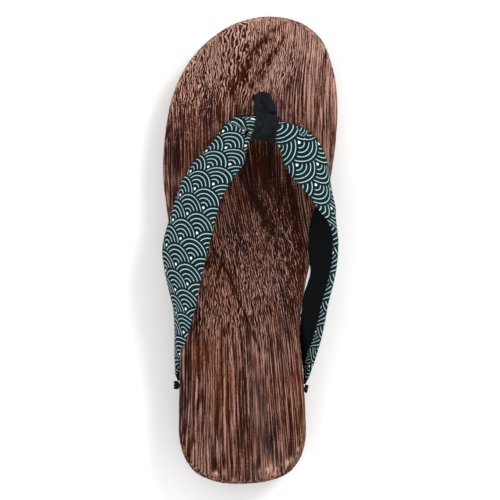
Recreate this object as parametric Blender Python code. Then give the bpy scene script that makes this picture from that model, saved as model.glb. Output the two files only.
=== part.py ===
"""Geta sandal, left shoe: a carved wooden sole, padded thong straps, a toe loop and two tail knots.

Metres, +Z up. +Y points to the toe and +X to the medial (big toe) side. The sole stands on z = 0.
The sizes below are in millimetres and are turned into metres where a mesh is made.
"""

import bmesh
import bpy
import numpy as np

MM = 0.001
CLEARANCE = 0.3

# Sole outline, a row for each section across
# Columns: station along the foot, lateral edge, medial edge
SOLE_OUTLINE = (
    (-127.8, -22.5, 13.1),
    (-123.6, -30.5, 22.0),
    (-116.6, -35.9, 27.6),
    (-105.5, -39.2, 30.9),
    (-91.6, -39.6, 30.9),
    (-64.3, -38.9, 29.2),
    (-42.6, -38.7, 27.8),
    (-20.9, -40.4, 30.6),
    (0.0, -43.4, 35.3),
    (19.8, -46.0, 40.4),
    (39.2, -48.2, 44.8),
    (66.0, -47.2, 48.3),
    (89.4, -42.0, 48.2),
    (106.1, -33.1, 44.8),
    (117.2, -22.5, 39.8),
    (125.5, -9.7, 30.3),
)
HEEL_TIP = (0.0, -130.0)
TOE_TIP = (11.4, 130.0)

# Sole heights, a row for each section along
# Columns: station, rim of the footbed, depth of its hollow, underside
SOLE_HEIGHTS = (
    (-130.0, 43.0, 0.5, 1.5),
    (-122.0, 42.6, 1.4, 0.0),
    (-100.0, 42.2, 2.2, 0.0),
    (-60.0, 41.6, 2.0, 0.0),
    (-42.0, 40.4, 1.6, 0.0),
    (-10.0, 35.0, 1.0, 0.0),
    (20.0, 30.8, 1.0, 0.0),
    (45.0, 29.8, 1.4, 0.0),
    (72.0, 30.0, 1.2, 0.0),
    (92.0, 32.2, 0.8, 1.6),
    (112.0, 36.2, 0.4, 6.6),
    (130.0, 40.6, 0.0, 14.0),
)
ARCH_RISE = 1.2
ARCH_STATION = -14.0
ARCH_REACH = 30.0

# Edges of the sole, and how finely its surfaces are divided
TOP_ROUND = 3.0
FOOT_ROUND = 2.0
WALL_DRAFT = 1.6
WALL_LEVELS = (0.33, 0.66)
ROUND_TURNS = (0.0, 30.0, 60.0, 90.0)
OUTLINE_STEPS = 62
TOP_STEPS = 6
UNDER_STEPS = 4
SPINE_ENDS = (-94.0, 88.0)

# Cut-out under the waist: a flattened arch that runs right across
CUTOUT_HEEL = -50.0
CUTOUT_BALL = 8.0
CUTOUT_HEIGHT = 13.0
CUTOUT_POWER = 2.6
CUTOUT_STEPS = 24
BEYOND = 5.0

# Straps, a row for each section from the lateral tail, through the toe loop, to the medial tail.
# Edge A is the front one at the toe loop and runs low down each side; edge B is the rear one at the
# loop and rises over the foot.
# Columns: A x, A y, A z, B x, B y, B z, thickness, bow of the padded face
STRAP_SECTIONS = (
    (-41.0, -71.9, 25.0, -41.0, -71.9, 27.4, 2.4, 0.0),
    (-41.0, -66.5, 25.3, -40.9, -66.5, 31.4, 2.7, 0.0),
    (-41.0, -61.0, 26.0, -40.3, -61.5, 37.0, 2.8, 0.3),
    (-40.8, -50.5, 28.5, -38.4, -51.5, 44.5, 3.0, 0.9),
    (-41.0, -39.5, 31.5, -35.6, -42.0, 50.0, 3.6, 1.4),
    (-42.0, -31.0, 34.5, -33.2, -35.0, 54.0, 4.2, 1.6),
    (-44.4, -22.2, 37.5, -30.4, -26.2, 57.0, 4.9, 1.6),
    (-47.2, -11.0, 40.0, -28.0, -14.6, 58.0, 5.4, 1.6),
    (-48.6, -0.8, 41.0, -25.8, -5.0, 57.0, 5.6, 1.2),
    (-44.2, 19.0, 40.0, -22.4, 8.8, 55.5, 5.6, 1.0),
    (-34.4, 44.6, 38.5, -16.8, 30.2, 54.0, 5.6, 1.0),
    (-21.0, 60.0, 39.2, -7.4, 44.0, 50.4, 5.8, 0.8),
    (-13.4, 68.8, 40.4, -3.4, 48.6, 47.0, 6.4, 0.5),
    (-5.3, 74.3, 41.4, -1.6, 55.8, 44.0, 7.2, 0.2),
    (3.1, 74.6, 42.0, 1.2, 63.4, 42.3, 8.4, 0.0),
    (10.0, 73.2, 42.0, 7.8, 62.8, 42.0, 8.8, 0.0),
    (16.4, 72.0, 42.0, 14.0, 60.2, 42.1, 8.4, 0.0),
    (25.3, 69.5, 41.4, 16.8, 55.4, 44.2, 7.2, 0.2),
    (32.8, 66.0, 40.4, 19.6, 47.0, 47.2, 6.4, 0.6),
    (38.2, 60.2, 39.0, 22.8, 41.4, 50.6, 5.8, 1.0),
    (42.0, 51.5, 37.4, 26.6, 37.4, 54.2, 5.6, 1.6),
    (43.0, 42.5, 36.2, 30.9, 32.6, 57.4, 5.6, 2.6),
    (41.5, 34.0, 35.8, 34.4, 27.8, 59.5, 5.6, 4.2),
    (37.5, 25.5, 36.0, 39.0, 21.5, 61.0, 5.6, 6.0),
    (34.2, 17.0, 37.0, 44.5, 15.0, 62.0, 5.6, 4.6),
    (32.8, 7.0, 38.6, 47.6, 6.2, 62.5, 5.6, 3.0),
    (32.8, -1.4, 39.8, 47.8, -1.4, 62.5, 5.4, 2.5),
    (33.4, -9.4, 40.8, 47.0, -9.6, 62.2, 5.2, 2.2),
    (31.7, -19.0, 40.6, 45.2, -19.4, 61.0, 5.0, 1.8),
    (29.5, -28.7, 39.0, 43.0, -28.9, 59.0, 4.6, 1.2),
    (28.7, -40.4, 34.5, 41.0, -40.6, 54.5, 4.0, 1.0),
    (28.9, -49.8, 31.0, 39.0, -50.0, 49.0, 3.6, 0.6),
    (29.7, -58.2, 28.2, 36.6, -58.4, 43.0, 3.2, 0.3),
    (30.8, -66.5, 26.2, 34.0, -66.6, 36.0, 2.8, 0.1),
    (31.6, -74.9, 25.2, 31.6, -74.9, 27.2, 2.2, 0.0),
)
JUNCTION_ROW = 15
STRAP_PITCH = 4.0
STRAP_AROUND = 20
PADDED_SHARE = 0.6
SECTION_POWER = 0.85

# Toe loop: a cloth band round the straps, with a stem down through the sole to a knot
LOOP_HALF_WIDTH = 6.8
LOOP_WALL = 1.9
LOOP_RINGS = 9
STEM_HOLE = (6.9, 84.2)
# Columns: x, y, z, half width across, half width along
STEM_SECTIONS = (
    (6.9, 84.2, 8.0, 4.6, 3.4),
    (6.9, 84.2, 26.0, 4.8, 3.6),
    (6.9, 84.2, 31.4, 4.9, 3.7),
    (7.1, 83.0, 34.6, 5.2, 3.9),
    (7.6, 79.4, 37.8, 5.8, 3.8),
    (8.2, 74.6, 39.8, 6.2, 3.4),
)
STEM_RINGS = 15
STEM_AROUND = 24
HOLE_RADII = (5.3, 4.1)
KNOT_CENTRE_Z = 6.4
KNOT_RADII = (8.0, 7.0, 3.6)
KNOT_RINGS = 9
RECESS_RADIUS = 10.5
RECESS_DEPTH = 11.0

# Tail knots: turns of cord against the wall of the sole, with a peg in a blind socket
TURN_PITCH = 1.6
TURNS = 3
TURN_NECK = 0.78
TURN_STEPS = 4
TURN_AROUND = 12
PEG_RADIUS = 1.2
PEG_DEPTH = 7.0
SOCKET_DEPTH = 7.8
# Columns: name, side of the sole, station of the first turn, height, wall of the sole, turn radius
TAIL_KNOTS = (
    ("lateral", -1.0, -72.2, 26.2, -39.2, 1.6),
    ("medial", 1.0, -75.3, 26.2, 30.1, 1.25),
)


def smooth(knots, values, at):
    """Cubic through the rows of values at their knots, read at other places."""
    knots = np.asarray(knots, float)
    values = np.asarray(values, float)
    at = np.asarray(at, float)
    slope = np.gradient(values, knots, axis=0)
    low = np.clip(np.searchsorted(knots, at, side="right") - 1, 0, len(knots) - 2)
    shape = at.shape + (1,) * (values.ndim - 1)
    span = (knots[low + 1] - knots[low]).reshape(shape)
    part = (at - knots[low]).reshape(shape) / span
    rest = 1 - part
    start = (1 + 2 * part) * rest**2 * values[low] + part * rest**2 * span * slope[low]
    end = (3 - 2 * part) * part**2 * values[low + 1] - rest * part**2 * span * slope[low + 1]
    return start + end


def chord_lengths(points):
    """Distance along a run of points, from its first."""
    steps = np.linalg.norm(np.diff(points, axis=0), axis=1)
    return np.concatenate([[0.0], np.cumsum(steps)])


def unit(vectors):
    """Vectors at length one."""
    return vectors / np.linalg.norm(vectors, axis=-1, keepdims=True)


def full_turn(count):
    """Even angles round a closed ring."""
    return np.linspace(0.0, 2 * np.pi, count, endpoint=False)


def body(name, rings, material=None, capped=True):
    """A closed body through rings of points in millimetres.

    Capped, its two end rings are filled. Otherwise each end ring lies folded on a line, whose doubled
    points are merged.
    """
    count, around, _ = rings.shape
    row = np.arange(count - 1)[:, None] * around
    column = np.arange(around)[None, :]
    following = (column + 1) % around
    corners = (row + column, row + following, row + around + following, row + around + column)
    faces = np.stack(corners, axis=-1).reshape(-1, 4).tolist()
    if capped:
        faces.append(list(range(around))[::-1])
        faces.append(list(range((count - 1) * around, count * around)))
    mesh = bpy.data.meshes.new(name)
    mesh.from_pydata((rings.reshape(-1, 3) * MM).tolist(), [], faces)
    shell = bmesh.new()
    shell.from_mesh(mesh)
    bmesh.ops.remove_doubles(shell, verts=shell.verts, dist=1e-7)
    bmesh.ops.recalc_face_normals(shell, faces=shell.faces)
    shell.to_mesh(mesh)
    shell.free()
    mesh.shade_smooth()
    mesh.set_sharp_from_angle(angle=np.radians(40))
    if material:
        mesh.materials.append(material)
    obj = bpy.data.objects.new(name, mesh)
    bpy.context.scene.collection.objects.link(obj)
    return obj


def prism(name, outline, axis, low, high):
    """A flat outline pulled along an axis, closed at both ends."""
    return body(name, np.array([np.insert(outline, axis, level, axis=1) for level in (low, high)]))


def oval(radii, centre, count):
    """Points of an oval in a plane."""
    turn = full_turn(count)
    return np.column_stack([centre[0] + radii[0] * np.cos(turn), centre[1] + radii[1] * np.sin(turn)])


def combine(obj, other, operation):
    """Adds an exact Boolean to an object, and keeps the other one out of the render as a wire."""
    other.hide_render = True
    other.display_type = "WIRE"
    modifier = obj.modifiers.new(other.name, "BOOLEAN")
    modifier.operation = operation
    modifier.solver = "EXACT"
    modifier.object = other


def finish(name, colour, roughness):
    """A plain Principled material."""
    material = bpy.data.materials.new(name)
    material.use_nodes = True
    shader = material.node_tree.nodes["Principled BSDF"]
    shader.inputs["Base Color"].default_value = (*colour, 1.0)
    shader.inputs["Roughness"].default_value = roughness
    shader.inputs["Metallic"].default_value = 0.0
    material.diffuse_color = (*colour, 1.0)
    return material


def sole_sides():
    """Outline of the sole as two runs, lateral and medial, each from the heel tip to the toe tip."""
    rows = np.array(SOLE_OUTLINE)
    lateral = np.column_stack([rows[:, 1], rows[:, 0]])
    medial = np.column_stack([rows[:, 2], rows[:, 0]])
    loop = np.vstack([HEEL_TIP, medial, TOE_TIP, lateral[::-1]])
    wrapped = np.vstack([loop, loop, loop, loop[:1]])
    along = chord_lengths(wrapped)
    heel = along[len(loop)]
    toe = along[len(loop) + len(medial) + 1]
    next_heel = along[2 * len(loop)]
    even = np.linspace(0.0, 1.0, OUTLINE_STEPS + 1)
    right = smooth(along, wrapped, heel + even * (toe - heel))
    left = smooth(along, wrapped, next_heel - even * (next_heel - toe))
    return left, right


def clockwise(left, right):
    """Two runs from heel to toe as one closed ring, clockwise seen from above."""
    return np.vstack([right[:0:-1], left[:-1]])


def inward(ring, distance):
    """A clockwise ring moved in square to itself."""
    ahead = np.roll(ring, -1, axis=0) - np.roll(ring, 1, axis=0)
    return ring + distance * unit(np.column_stack([ahead[:, 1], -ahead[:, 0]]))


def across(x, y):
    """Place across the foot, -1 on the lateral edge to 1 on the medial edge."""
    left, right = sole_sides()
    lateral = np.interp(y, left[:, 1], left[:, 0])
    medial = np.interp(y, right[:, 1], right[:, 0])
    half = np.maximum((medial - lateral) / 2, TOP_ROUND)
    return np.clip((x - (medial + lateral) / 2) / half, -1.0, 1.0)


def sole_top(x, y):
    """Height of the footbed: its rim, less a hollow across, plus a rise under the arch of the foot."""
    table = np.array(SOLE_HEIGHTS)
    rim, hollow = smooth(table[:, 0], table[:, 1:3], np.clip(y, table[0, 0], table[-1, 0])).T
    place = across(x, y)
    arch = ARCH_RISE * np.exp(-(((y - ARCH_STATION) / ARCH_REACH) ** 2))
    return rim - hollow * (1 - place**2) ** 2 + arch * np.clip(place, 0.0, 1.0) ** 2


def sole_under(x, y):
    """Height of the underside, the same right across: flat on the ground, then the toe spring."""
    table = np.array(SOLE_HEIGHTS)
    height = smooth(table[:, 0], table[:, 3], np.clip(y, table[0, 0], table[-1, 0]))
    return np.maximum(height, 0.0) + 0.0 * x


def sole_rings():
    """Rings of the sole: out along the underside, up the wall, and in over the footbed."""
    left, right = sole_sides()
    outline = clockwise(left, right)
    middle = (left + right) / 2
    order = np.argsort(middle[:, 1])
    spine_y = np.clip(middle[:, 1], *SPINE_ENDS)
    spine_x = np.interp(spine_y, middle[order, 1], middle[order, 0])
    spine = np.column_stack([spine_x, spine_y])
    centre = clockwise(spine, spine)
    turns = np.radians(ROUND_TURNS)

    def ring(inset, share, level):
        flat = centre + (inward(outline, inset) - centre) * share
        return np.column_stack([flat, level(flat[:, 0], flat[:, 1])])

    def foot_edge(turn):
        rise = FOOT_ROUND * (1 - np.cos(turn))
        inset = WALL_DRAFT + FOOT_ROUND * (1 - np.sin(turn))
        return ring(inset, 1.0, lambda x, y: sole_under(x, y) + rise)

    def wall(part):
        low, high = FOOT_ROUND, -TOP_ROUND
        inset = WALL_DRAFT * (1 - part) ** 1.5
        return ring(
            inset, 1.0, lambda x, y: (1 - part) * (sole_under(x, y) + low) + part * (sole_top(x, y) + high)
        )

    def rim(turn):
        drop = TOP_ROUND * (1 - np.sin(turn))
        inset = TOP_ROUND * (1 - np.cos(turn))
        return ring(inset, 1.0, lambda x, y: sole_top(x, y) - drop)

    rings = [ring(FOOT_ROUND + WALL_DRAFT, step / UNDER_STEPS, sole_under) for step in range(UNDER_STEPS)]
    rings += [foot_edge(turn) for turn in turns]
    rings += [wall(part) for part in WALL_LEVELS]
    rings += [rim(turn) for turn in turns]
    rings += [ring(TOP_ROUND, step / TOP_STEPS, sole_top) for step in range(TOP_STEPS - 1, -1, -1)]
    return np.array(rings)


def waist_cutout():
    """The cutter under the waist: a flattened arch in side view, pulled right across."""
    middle = (CUTOUT_HEEL + CUTOUT_BALL) / 2
    half = (CUTOUT_BALL - CUTOUT_HEEL) / 2
    turn = np.linspace(0.0, np.pi, CUTOUT_STEPS + 1)
    y = middle + half * np.sign(np.cos(turn)) * np.abs(np.cos(turn)) ** (2 / CUTOUT_POWER)
    z = CUTOUT_HEIGHT * np.abs(np.sin(turn)) ** (2 / CUTOUT_POWER)
    arch = np.column_stack([y, z])
    below = [[CUTOUT_HEEL, -BEYOND], [CUTOUT_BALL, -BEYOND]]
    reach = max(abs(edge) for row in SOLE_OUTLINE for edge in row[1:]) + BEYOND
    return prism("waist_cutout", np.vstack([arch, below]), 0, -reach, reach)


def build_sole(material):
    """The carved block with its waist cut-out, toe hole, knot recess and two tail sockets."""
    sole = body("sole", sole_rings(), material, capped=False)
    combine(sole, waist_cutout(), "DIFFERENCE")
    hole = oval(HOLE_RADII, STEM_HOLE, STEM_AROUND)
    highest = max(row[1] for row in SOLE_HEIGHTS)
    combine(sole, prism("toe_hole", hole, 2, RECESS_DEPTH / 2, highest + BEYOND), "DIFFERENCE")
    recess = oval((RECESS_RADIUS, RECESS_RADIUS), STEM_HOLE, STEM_AROUND)
    combine(sole, prism("knot_recess", recess, 2, -BEYOND, RECESS_DEPTH), "DIFFERENCE")
    for name, side, station, height, wall, _ in TAIL_KNOTS:
        mouth = oval((PEG_RADIUS + CLEARANCE,) * 2, (station - TURN_PITCH * TURNS / 2, height), TURN_AROUND)
        ends = sorted((wall + side * BEYOND, wall - side * SOCKET_DEPTH))
        combine(sole, prism("socket_" + name, mouth, 0, *ends), "DIFFERENCE")
    return sole


def strap_places():
    """Places of the strap's rings along its middle line, and that of the toe loop."""
    rows = np.array(STRAP_SECTIONS)
    along = chord_lengths((rows[:, :3] + rows[:, 3:6]) / 2)
    count = int(round(along[-1] / STRAP_PITCH)) + 1
    return np.linspace(0.0, along[-1], count), along[JUNCTION_ROW]


def strap_rings(at, grow=0.0):
    """Rings of the straps at places along them, moved out by grow.

    Each ring is a flattened oval from edge A to edge B, thicker on its padded outer side and bowed
    out between its edges.
    """
    rows = np.array(STRAP_SECTIONS)
    middle = (rows[:, :3] + rows[:, 3:6]) / 2
    along = chord_lengths(middle)
    read = smooth(along, rows, at)
    after = smooth(along, middle, np.minimum(at + 1.0, along[-1]))
    ahead = after - smooth(along, middle, np.maximum(at - 1.0, 0.0))
    chord = read[:, 3:6] - read[:, :3]
    half_width = np.linalg.norm(chord, axis=1, keepdims=True) / 2
    edge_way = unit(chord)
    face_way = unit(np.cross(edge_way, ahead))
    turn = full_turn(STRAP_AROUND)
    wide = np.sign(np.cos(turn)) * np.abs(np.cos(turn)) ** SECTION_POWER
    deep = np.sign(np.sin(turn)) * np.abs(np.sin(turn)) ** SECTION_POWER
    share = np.where(deep > 0, PADDED_SHARE, 1 - PADDED_SHARE)
    reach = (half_width + grow) * wide
    depth = (read[:, 6:7] * share + grow) * deep + read[:, 7:8] * (1 - wide**2)
    centre = (read[:, :3] + read[:, 3:6]) / 2
    return centre[:, None] + reach[..., None] * edge_way[:, None] + depth[..., None] * face_way[:, None]


def build_straps(material):
    """Both padded straps as one body, joined where the toe loop holds them."""
    places, _ = strap_places()
    return body("straps", strap_rings(places), material)


def stem():
    """The loop's stem: ovals square to a line that rises through the sole and leans back."""
    rows = np.array(STEM_SECTIONS)
    along = chord_lengths(rows[:, :3])
    read = smooth(along, rows, np.linspace(0.0, along[-1], STEM_RINGS))
    ahead = unit(np.gradient(read[:, :3], axis=0))
    side = unit(np.array([1.0, 0.0, 0.0]) - ahead * ahead[:, :1])
    fore = np.cross(ahead, side)
    turn = full_turn(STEM_AROUND)[None, :, None]
    wide = read[:, None, 3:4] * np.cos(turn) * side[:, None]
    deep = read[:, None, 4:5] * np.sin(turn) * fore[:, None]
    return body("stem", read[:, None, :3] + wide + deep)


def knot_under():
    """The flattened knot that holds the stem from below, a squat ball cut flat at its poles."""
    rise = np.linspace(-0.46, 0.46, KNOT_RINGS)[:, None] * np.pi
    turn = full_turn(STEM_AROUND)[None, :]
    x = STEM_HOLE[0] + KNOT_RADII[0] * np.cos(rise) * np.cos(turn)
    y = STEM_HOLE[1] + KNOT_RADII[1] * np.cos(rise) * np.sin(turn)
    z = KNOT_CENTRE_Z + KNOT_RADII[2] * np.sin(rise) + 0.0 * turn
    return body("knot_under", np.stack([x, y, z], axis=-1))


def build_toe_loop(material):
    """The cloth band round the straps, its stem through the sole and the knot under it."""
    places, middle = strap_places()
    band = middle + np.linspace(-LOOP_HALF_WIDTH, LOOP_HALF_WIDTH, LOOP_RINGS)
    loop = body("toe_loop", strap_rings(band, CLEARANCE + LOOP_WALL), material)
    combine(loop, stem(), "UNION")
    combine(loop, knot_under(), "UNION")
    inside = places[np.abs(places - middle) < LOOP_HALF_WIDTH + 2 * STRAP_PITCH]
    combine(loop, body("strap_space", strap_rings(inside, CLEARANCE)), "DIFFERENCE")
    return loop


def build_tail_knot(name, side, station, height, wall, radius, material):
    """Turns of cord against the wall of the sole, with a peg into the socket behind them."""
    centre_x = wall + side * (CLEARANCE + radius)
    part = np.linspace(0.0, 1.0, TURN_STEPS * TURNS + 1)[:, None]
    swell = np.abs(np.sin(np.pi * TURNS * part)) ** 0.7
    reach = radius * (TURN_NECK + (1 - TURN_NECK) * swell)
    turn = full_turn(TURN_AROUND)[None, :]
    x = centre_x + reach * np.cos(turn)
    y = station - part * TURN_PITCH * TURNS + 0.0 * turn
    z = height + reach * np.sin(turn)
    knot = body("tail_knot_" + name, np.stack([x, y, z], axis=-1), material)
    shaft = oval((PEG_RADIUS, PEG_RADIUS), (station - TURN_PITCH * TURNS / 2, height), TURN_AROUND)
    ends = sorted((centre_x, wall - side * PEG_DEPTH))
    combine(knot, prism("peg_" + name, shaft, 0, *ends), "UNION")
    return knot


def clear_scene():
    """Removes what the startup scene holds."""
    for obj in list(bpy.data.objects):
        bpy.data.objects.remove(obj)


def main():
    """Builds the sandal."""
    clear_scene()
    wood = finish("burnt wood", (0.13, 0.058, 0.044), 0.6)
    wave_cloth = finish("wave cloth", (0.02, 0.085, 0.085), 0.8)
    black_cloth = finish("black cloth", (0.011, 0.013, 0.015), 0.85)
    black_cord = finish("black cord", (0.01, 0.011, 0.012), 0.8)
    build_sole(wood)
    build_straps(wave_cloth)
    build_toe_loop(black_cloth)
    for row in TAIL_KNOTS:
        build_tail_knot(*row, black_cord)


if __name__ == "__main__":
    main()
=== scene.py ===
"""Looks of a left geta sandal: burnt and brushed wood, padded straps in wave cloth, a toe loop of black
cloth and two wound tail knots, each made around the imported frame.

The tables and sizes below are in millimetres, apart from those that say metres. Meshes are written in
metres, +Y to the toe and +X to the medial (big toe) side. The properties are in Blender's own units.
"""

import bmesh
import bpy
import numpy as np
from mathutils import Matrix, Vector
from mathutils.kdtree import KDTree


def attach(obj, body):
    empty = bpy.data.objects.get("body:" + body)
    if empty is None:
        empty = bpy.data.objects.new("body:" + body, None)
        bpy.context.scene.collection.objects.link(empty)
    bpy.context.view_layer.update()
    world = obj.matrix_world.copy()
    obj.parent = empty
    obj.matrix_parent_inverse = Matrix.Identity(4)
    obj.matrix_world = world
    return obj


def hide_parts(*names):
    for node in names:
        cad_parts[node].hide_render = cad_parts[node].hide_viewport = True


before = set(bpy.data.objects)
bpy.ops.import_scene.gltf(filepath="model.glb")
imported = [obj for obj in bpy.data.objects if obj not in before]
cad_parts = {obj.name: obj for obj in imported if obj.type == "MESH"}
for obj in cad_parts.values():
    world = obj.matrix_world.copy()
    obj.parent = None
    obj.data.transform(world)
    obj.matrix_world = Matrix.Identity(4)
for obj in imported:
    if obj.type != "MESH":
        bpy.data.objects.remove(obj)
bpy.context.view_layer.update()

bl_info = {
    "name": "Geta Sandal",
    "version": (1, 0, 0),
    "blender": (4, 5, 0),
    "location": "3D View > Sidebar > Geta",
    "description": "Makes the pieces of a wooden geta sandal and sets its stage",
    "category": "Object",
}

MM = 0.001
CLEARANCE = 0.3
# Points of a mesh that are nearer than this, in metres, are merged
MERGE_WITHIN = 1e-7
# Added to a vector that may have no length
HARDLY_ANY = 1e-12
# Turn between two faces, in degrees, past which the edge is left sharp
SHARP_WOOD = 40
SHARP_SEAM = 60
SHARP_FOLD = 80

# Sole outline, a row for each section across
# Columns: station along the foot, lateral edge, medial edge
SOLE_OUTLINE = (
    (-127.8, -22.5, 13.1),
    (-123.6, -30.5, 22),
    (-116.6, -35.9, 27.6),
    (-105.5, -39.2, 30.9),
    (-91.6, -39.6, 30.9),
    (-64.3, -38.9, 29.2),
    (-42.6, -38.7, 27.8),
    (-20.9, -40.4, 30.6),
    (0, -43.4, 35.3),
    (19.8, -46, 40.4),
    (39.2, -48.2, 44.8),
    (66, -47.2, 48.3),
    (89.4, -42, 48.2),
    (106.1, -33.1, 44.8),
    (117.2, -22.5, 39.8),
    (125.5, -9.7, 30.3),
)
HEEL_TIP = (0, -130)
TOE_TIP = (11.4, 130)

# Sole heights, a row for each section along
# Columns: station, rim of the footbed, depth of its hollow, underside
SOLE_HEIGHTS = (
    (-130, 43, 0.5, 1.5),
    (-122, 42.6, 1.4, 0),
    (-100, 42.2, 2.2, 0),
    (-60, 41.6, 2, 0),
    (-42, 40.4, 1.6, 0),
    (-10, 35, 1, 0),
    (20, 30.8, 1, 0),
    (45, 29.8, 1.4, 0),
    (72, 30, 1.2, 0),
    (92, 32.2, 0.8, 1.6),
    (112, 36.2, 0.4, 6.6),
    (130, 40.6, 0, 14),
)
ARCH_RISE = 1.2
ARCH_STATION = -14
ARCH_REACH = 30
TOP_ROUND = 3
FOOT_ROUND = 2
WALL_DRAFT = 1.6
WALL_POWER = 1.5
SPINE_ENDS = (-94, 88)
# The worn rim runs this share of the rounding in and down from the outline, with this many places to
# each step of the outline
RIM_SHARE = 0.3
RIM_FINENESS = 4
# Share of the brushed relief that the walls have
WALL_BRUSHED = 0.4

# How finely the sole is divided
OUTLINE_STEPS = 280
TIP_CROWDING = 0.09
UNDER_STEPS = 8
FOOT_STEPS = 4
WALL_STEPS = 22
RIM_STEPS = 7
TOP_STEPS = 98

# Cut-out under the waist: a flattened arch that runs right across
CUTOUT_HEEL = -50
CUTOUT_BALL = 8
CUTOUT_HEIGHT = 13
CUTOUT_POWER = 2.6
CUTOUT_STEPS = 60
BEYOND = 5

# Lean of the grain in degrees, to the medial side going towards the toe, as charted
# Columns: station, then the lean at each of the places across
LEAN_PLACES = (-32, -16, 0, 16, 32)
HEEL_LEANS = (
    (-131, -1, -1, -2, -5, -5),
    (-60, 1, 0.5, -3, -5.5, -5),
    (-44, 3, 0, -5, -7, -6),
    (-28, 3, -4, -9, -10, -8),
    (-10, -8, -8, -8, -11, -10),
    (10, -14, -10, -12, -17, -12),
    (26, -8, -14, -13, -9, -8),
    (40, -3, -12, -9, -1, -3),
    (52, -2, -10, -6, 2, 0),
    (75, 0, 0, 0, 0, 0),
)
TOE_LEANS = (
    (62, 0, 0, 0, 0, 0),
    (78, -4, 3, 11, 2, 0),
    (92, 5, 0, 12, 6, 3),
    (108, 16, 0, 7, 9, 6),
    (131, 18, 2, 2, 6, 4),
)
# Where the grain starts to lean in each chart, and the line under the straps where the charts meet
LEAN_STARTS = (-25, 64)
LEAN_BLEND = 6
# Columns: x, y
STRAP_LINE = (
    (-46, 2), (-30, 30), (-17, 50), (-5, 65), (16, 66), (28, 58), (36, 45), (44, 30),
)

# Share of a soft bar's amount that is left at its two ends
BAR_ENDS = 0.35
# Marks of the wood, charted in plan as listed soft bars from one place to another
# Columns of each chart: from x, from y, to x, to y, half width, amount
# Short dashes, where the surface cuts across the grain
DASH_ZONES = (
    (-15.3, 14.2, 4.2, -44.3, 24, 1.5), (-24, -5, -24, -46, 9, 0.8), (-37.6, 75.4, -18.1, 111.6, 15, 1.3),
    (-18.1, 111.6, 14, 121, 15, 1.2), (-7, 97.7, 12, 92, 14, 1.2), (10, 34, 22, -20, 11, 1.2),
    (10, 100, 26, 112, 10, 1.2),
)
# Depth below the footbed where the dashes start to fade, and how far down they go on fading
DASH_DEPTH = 2
DASH_FADE = 4
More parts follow.
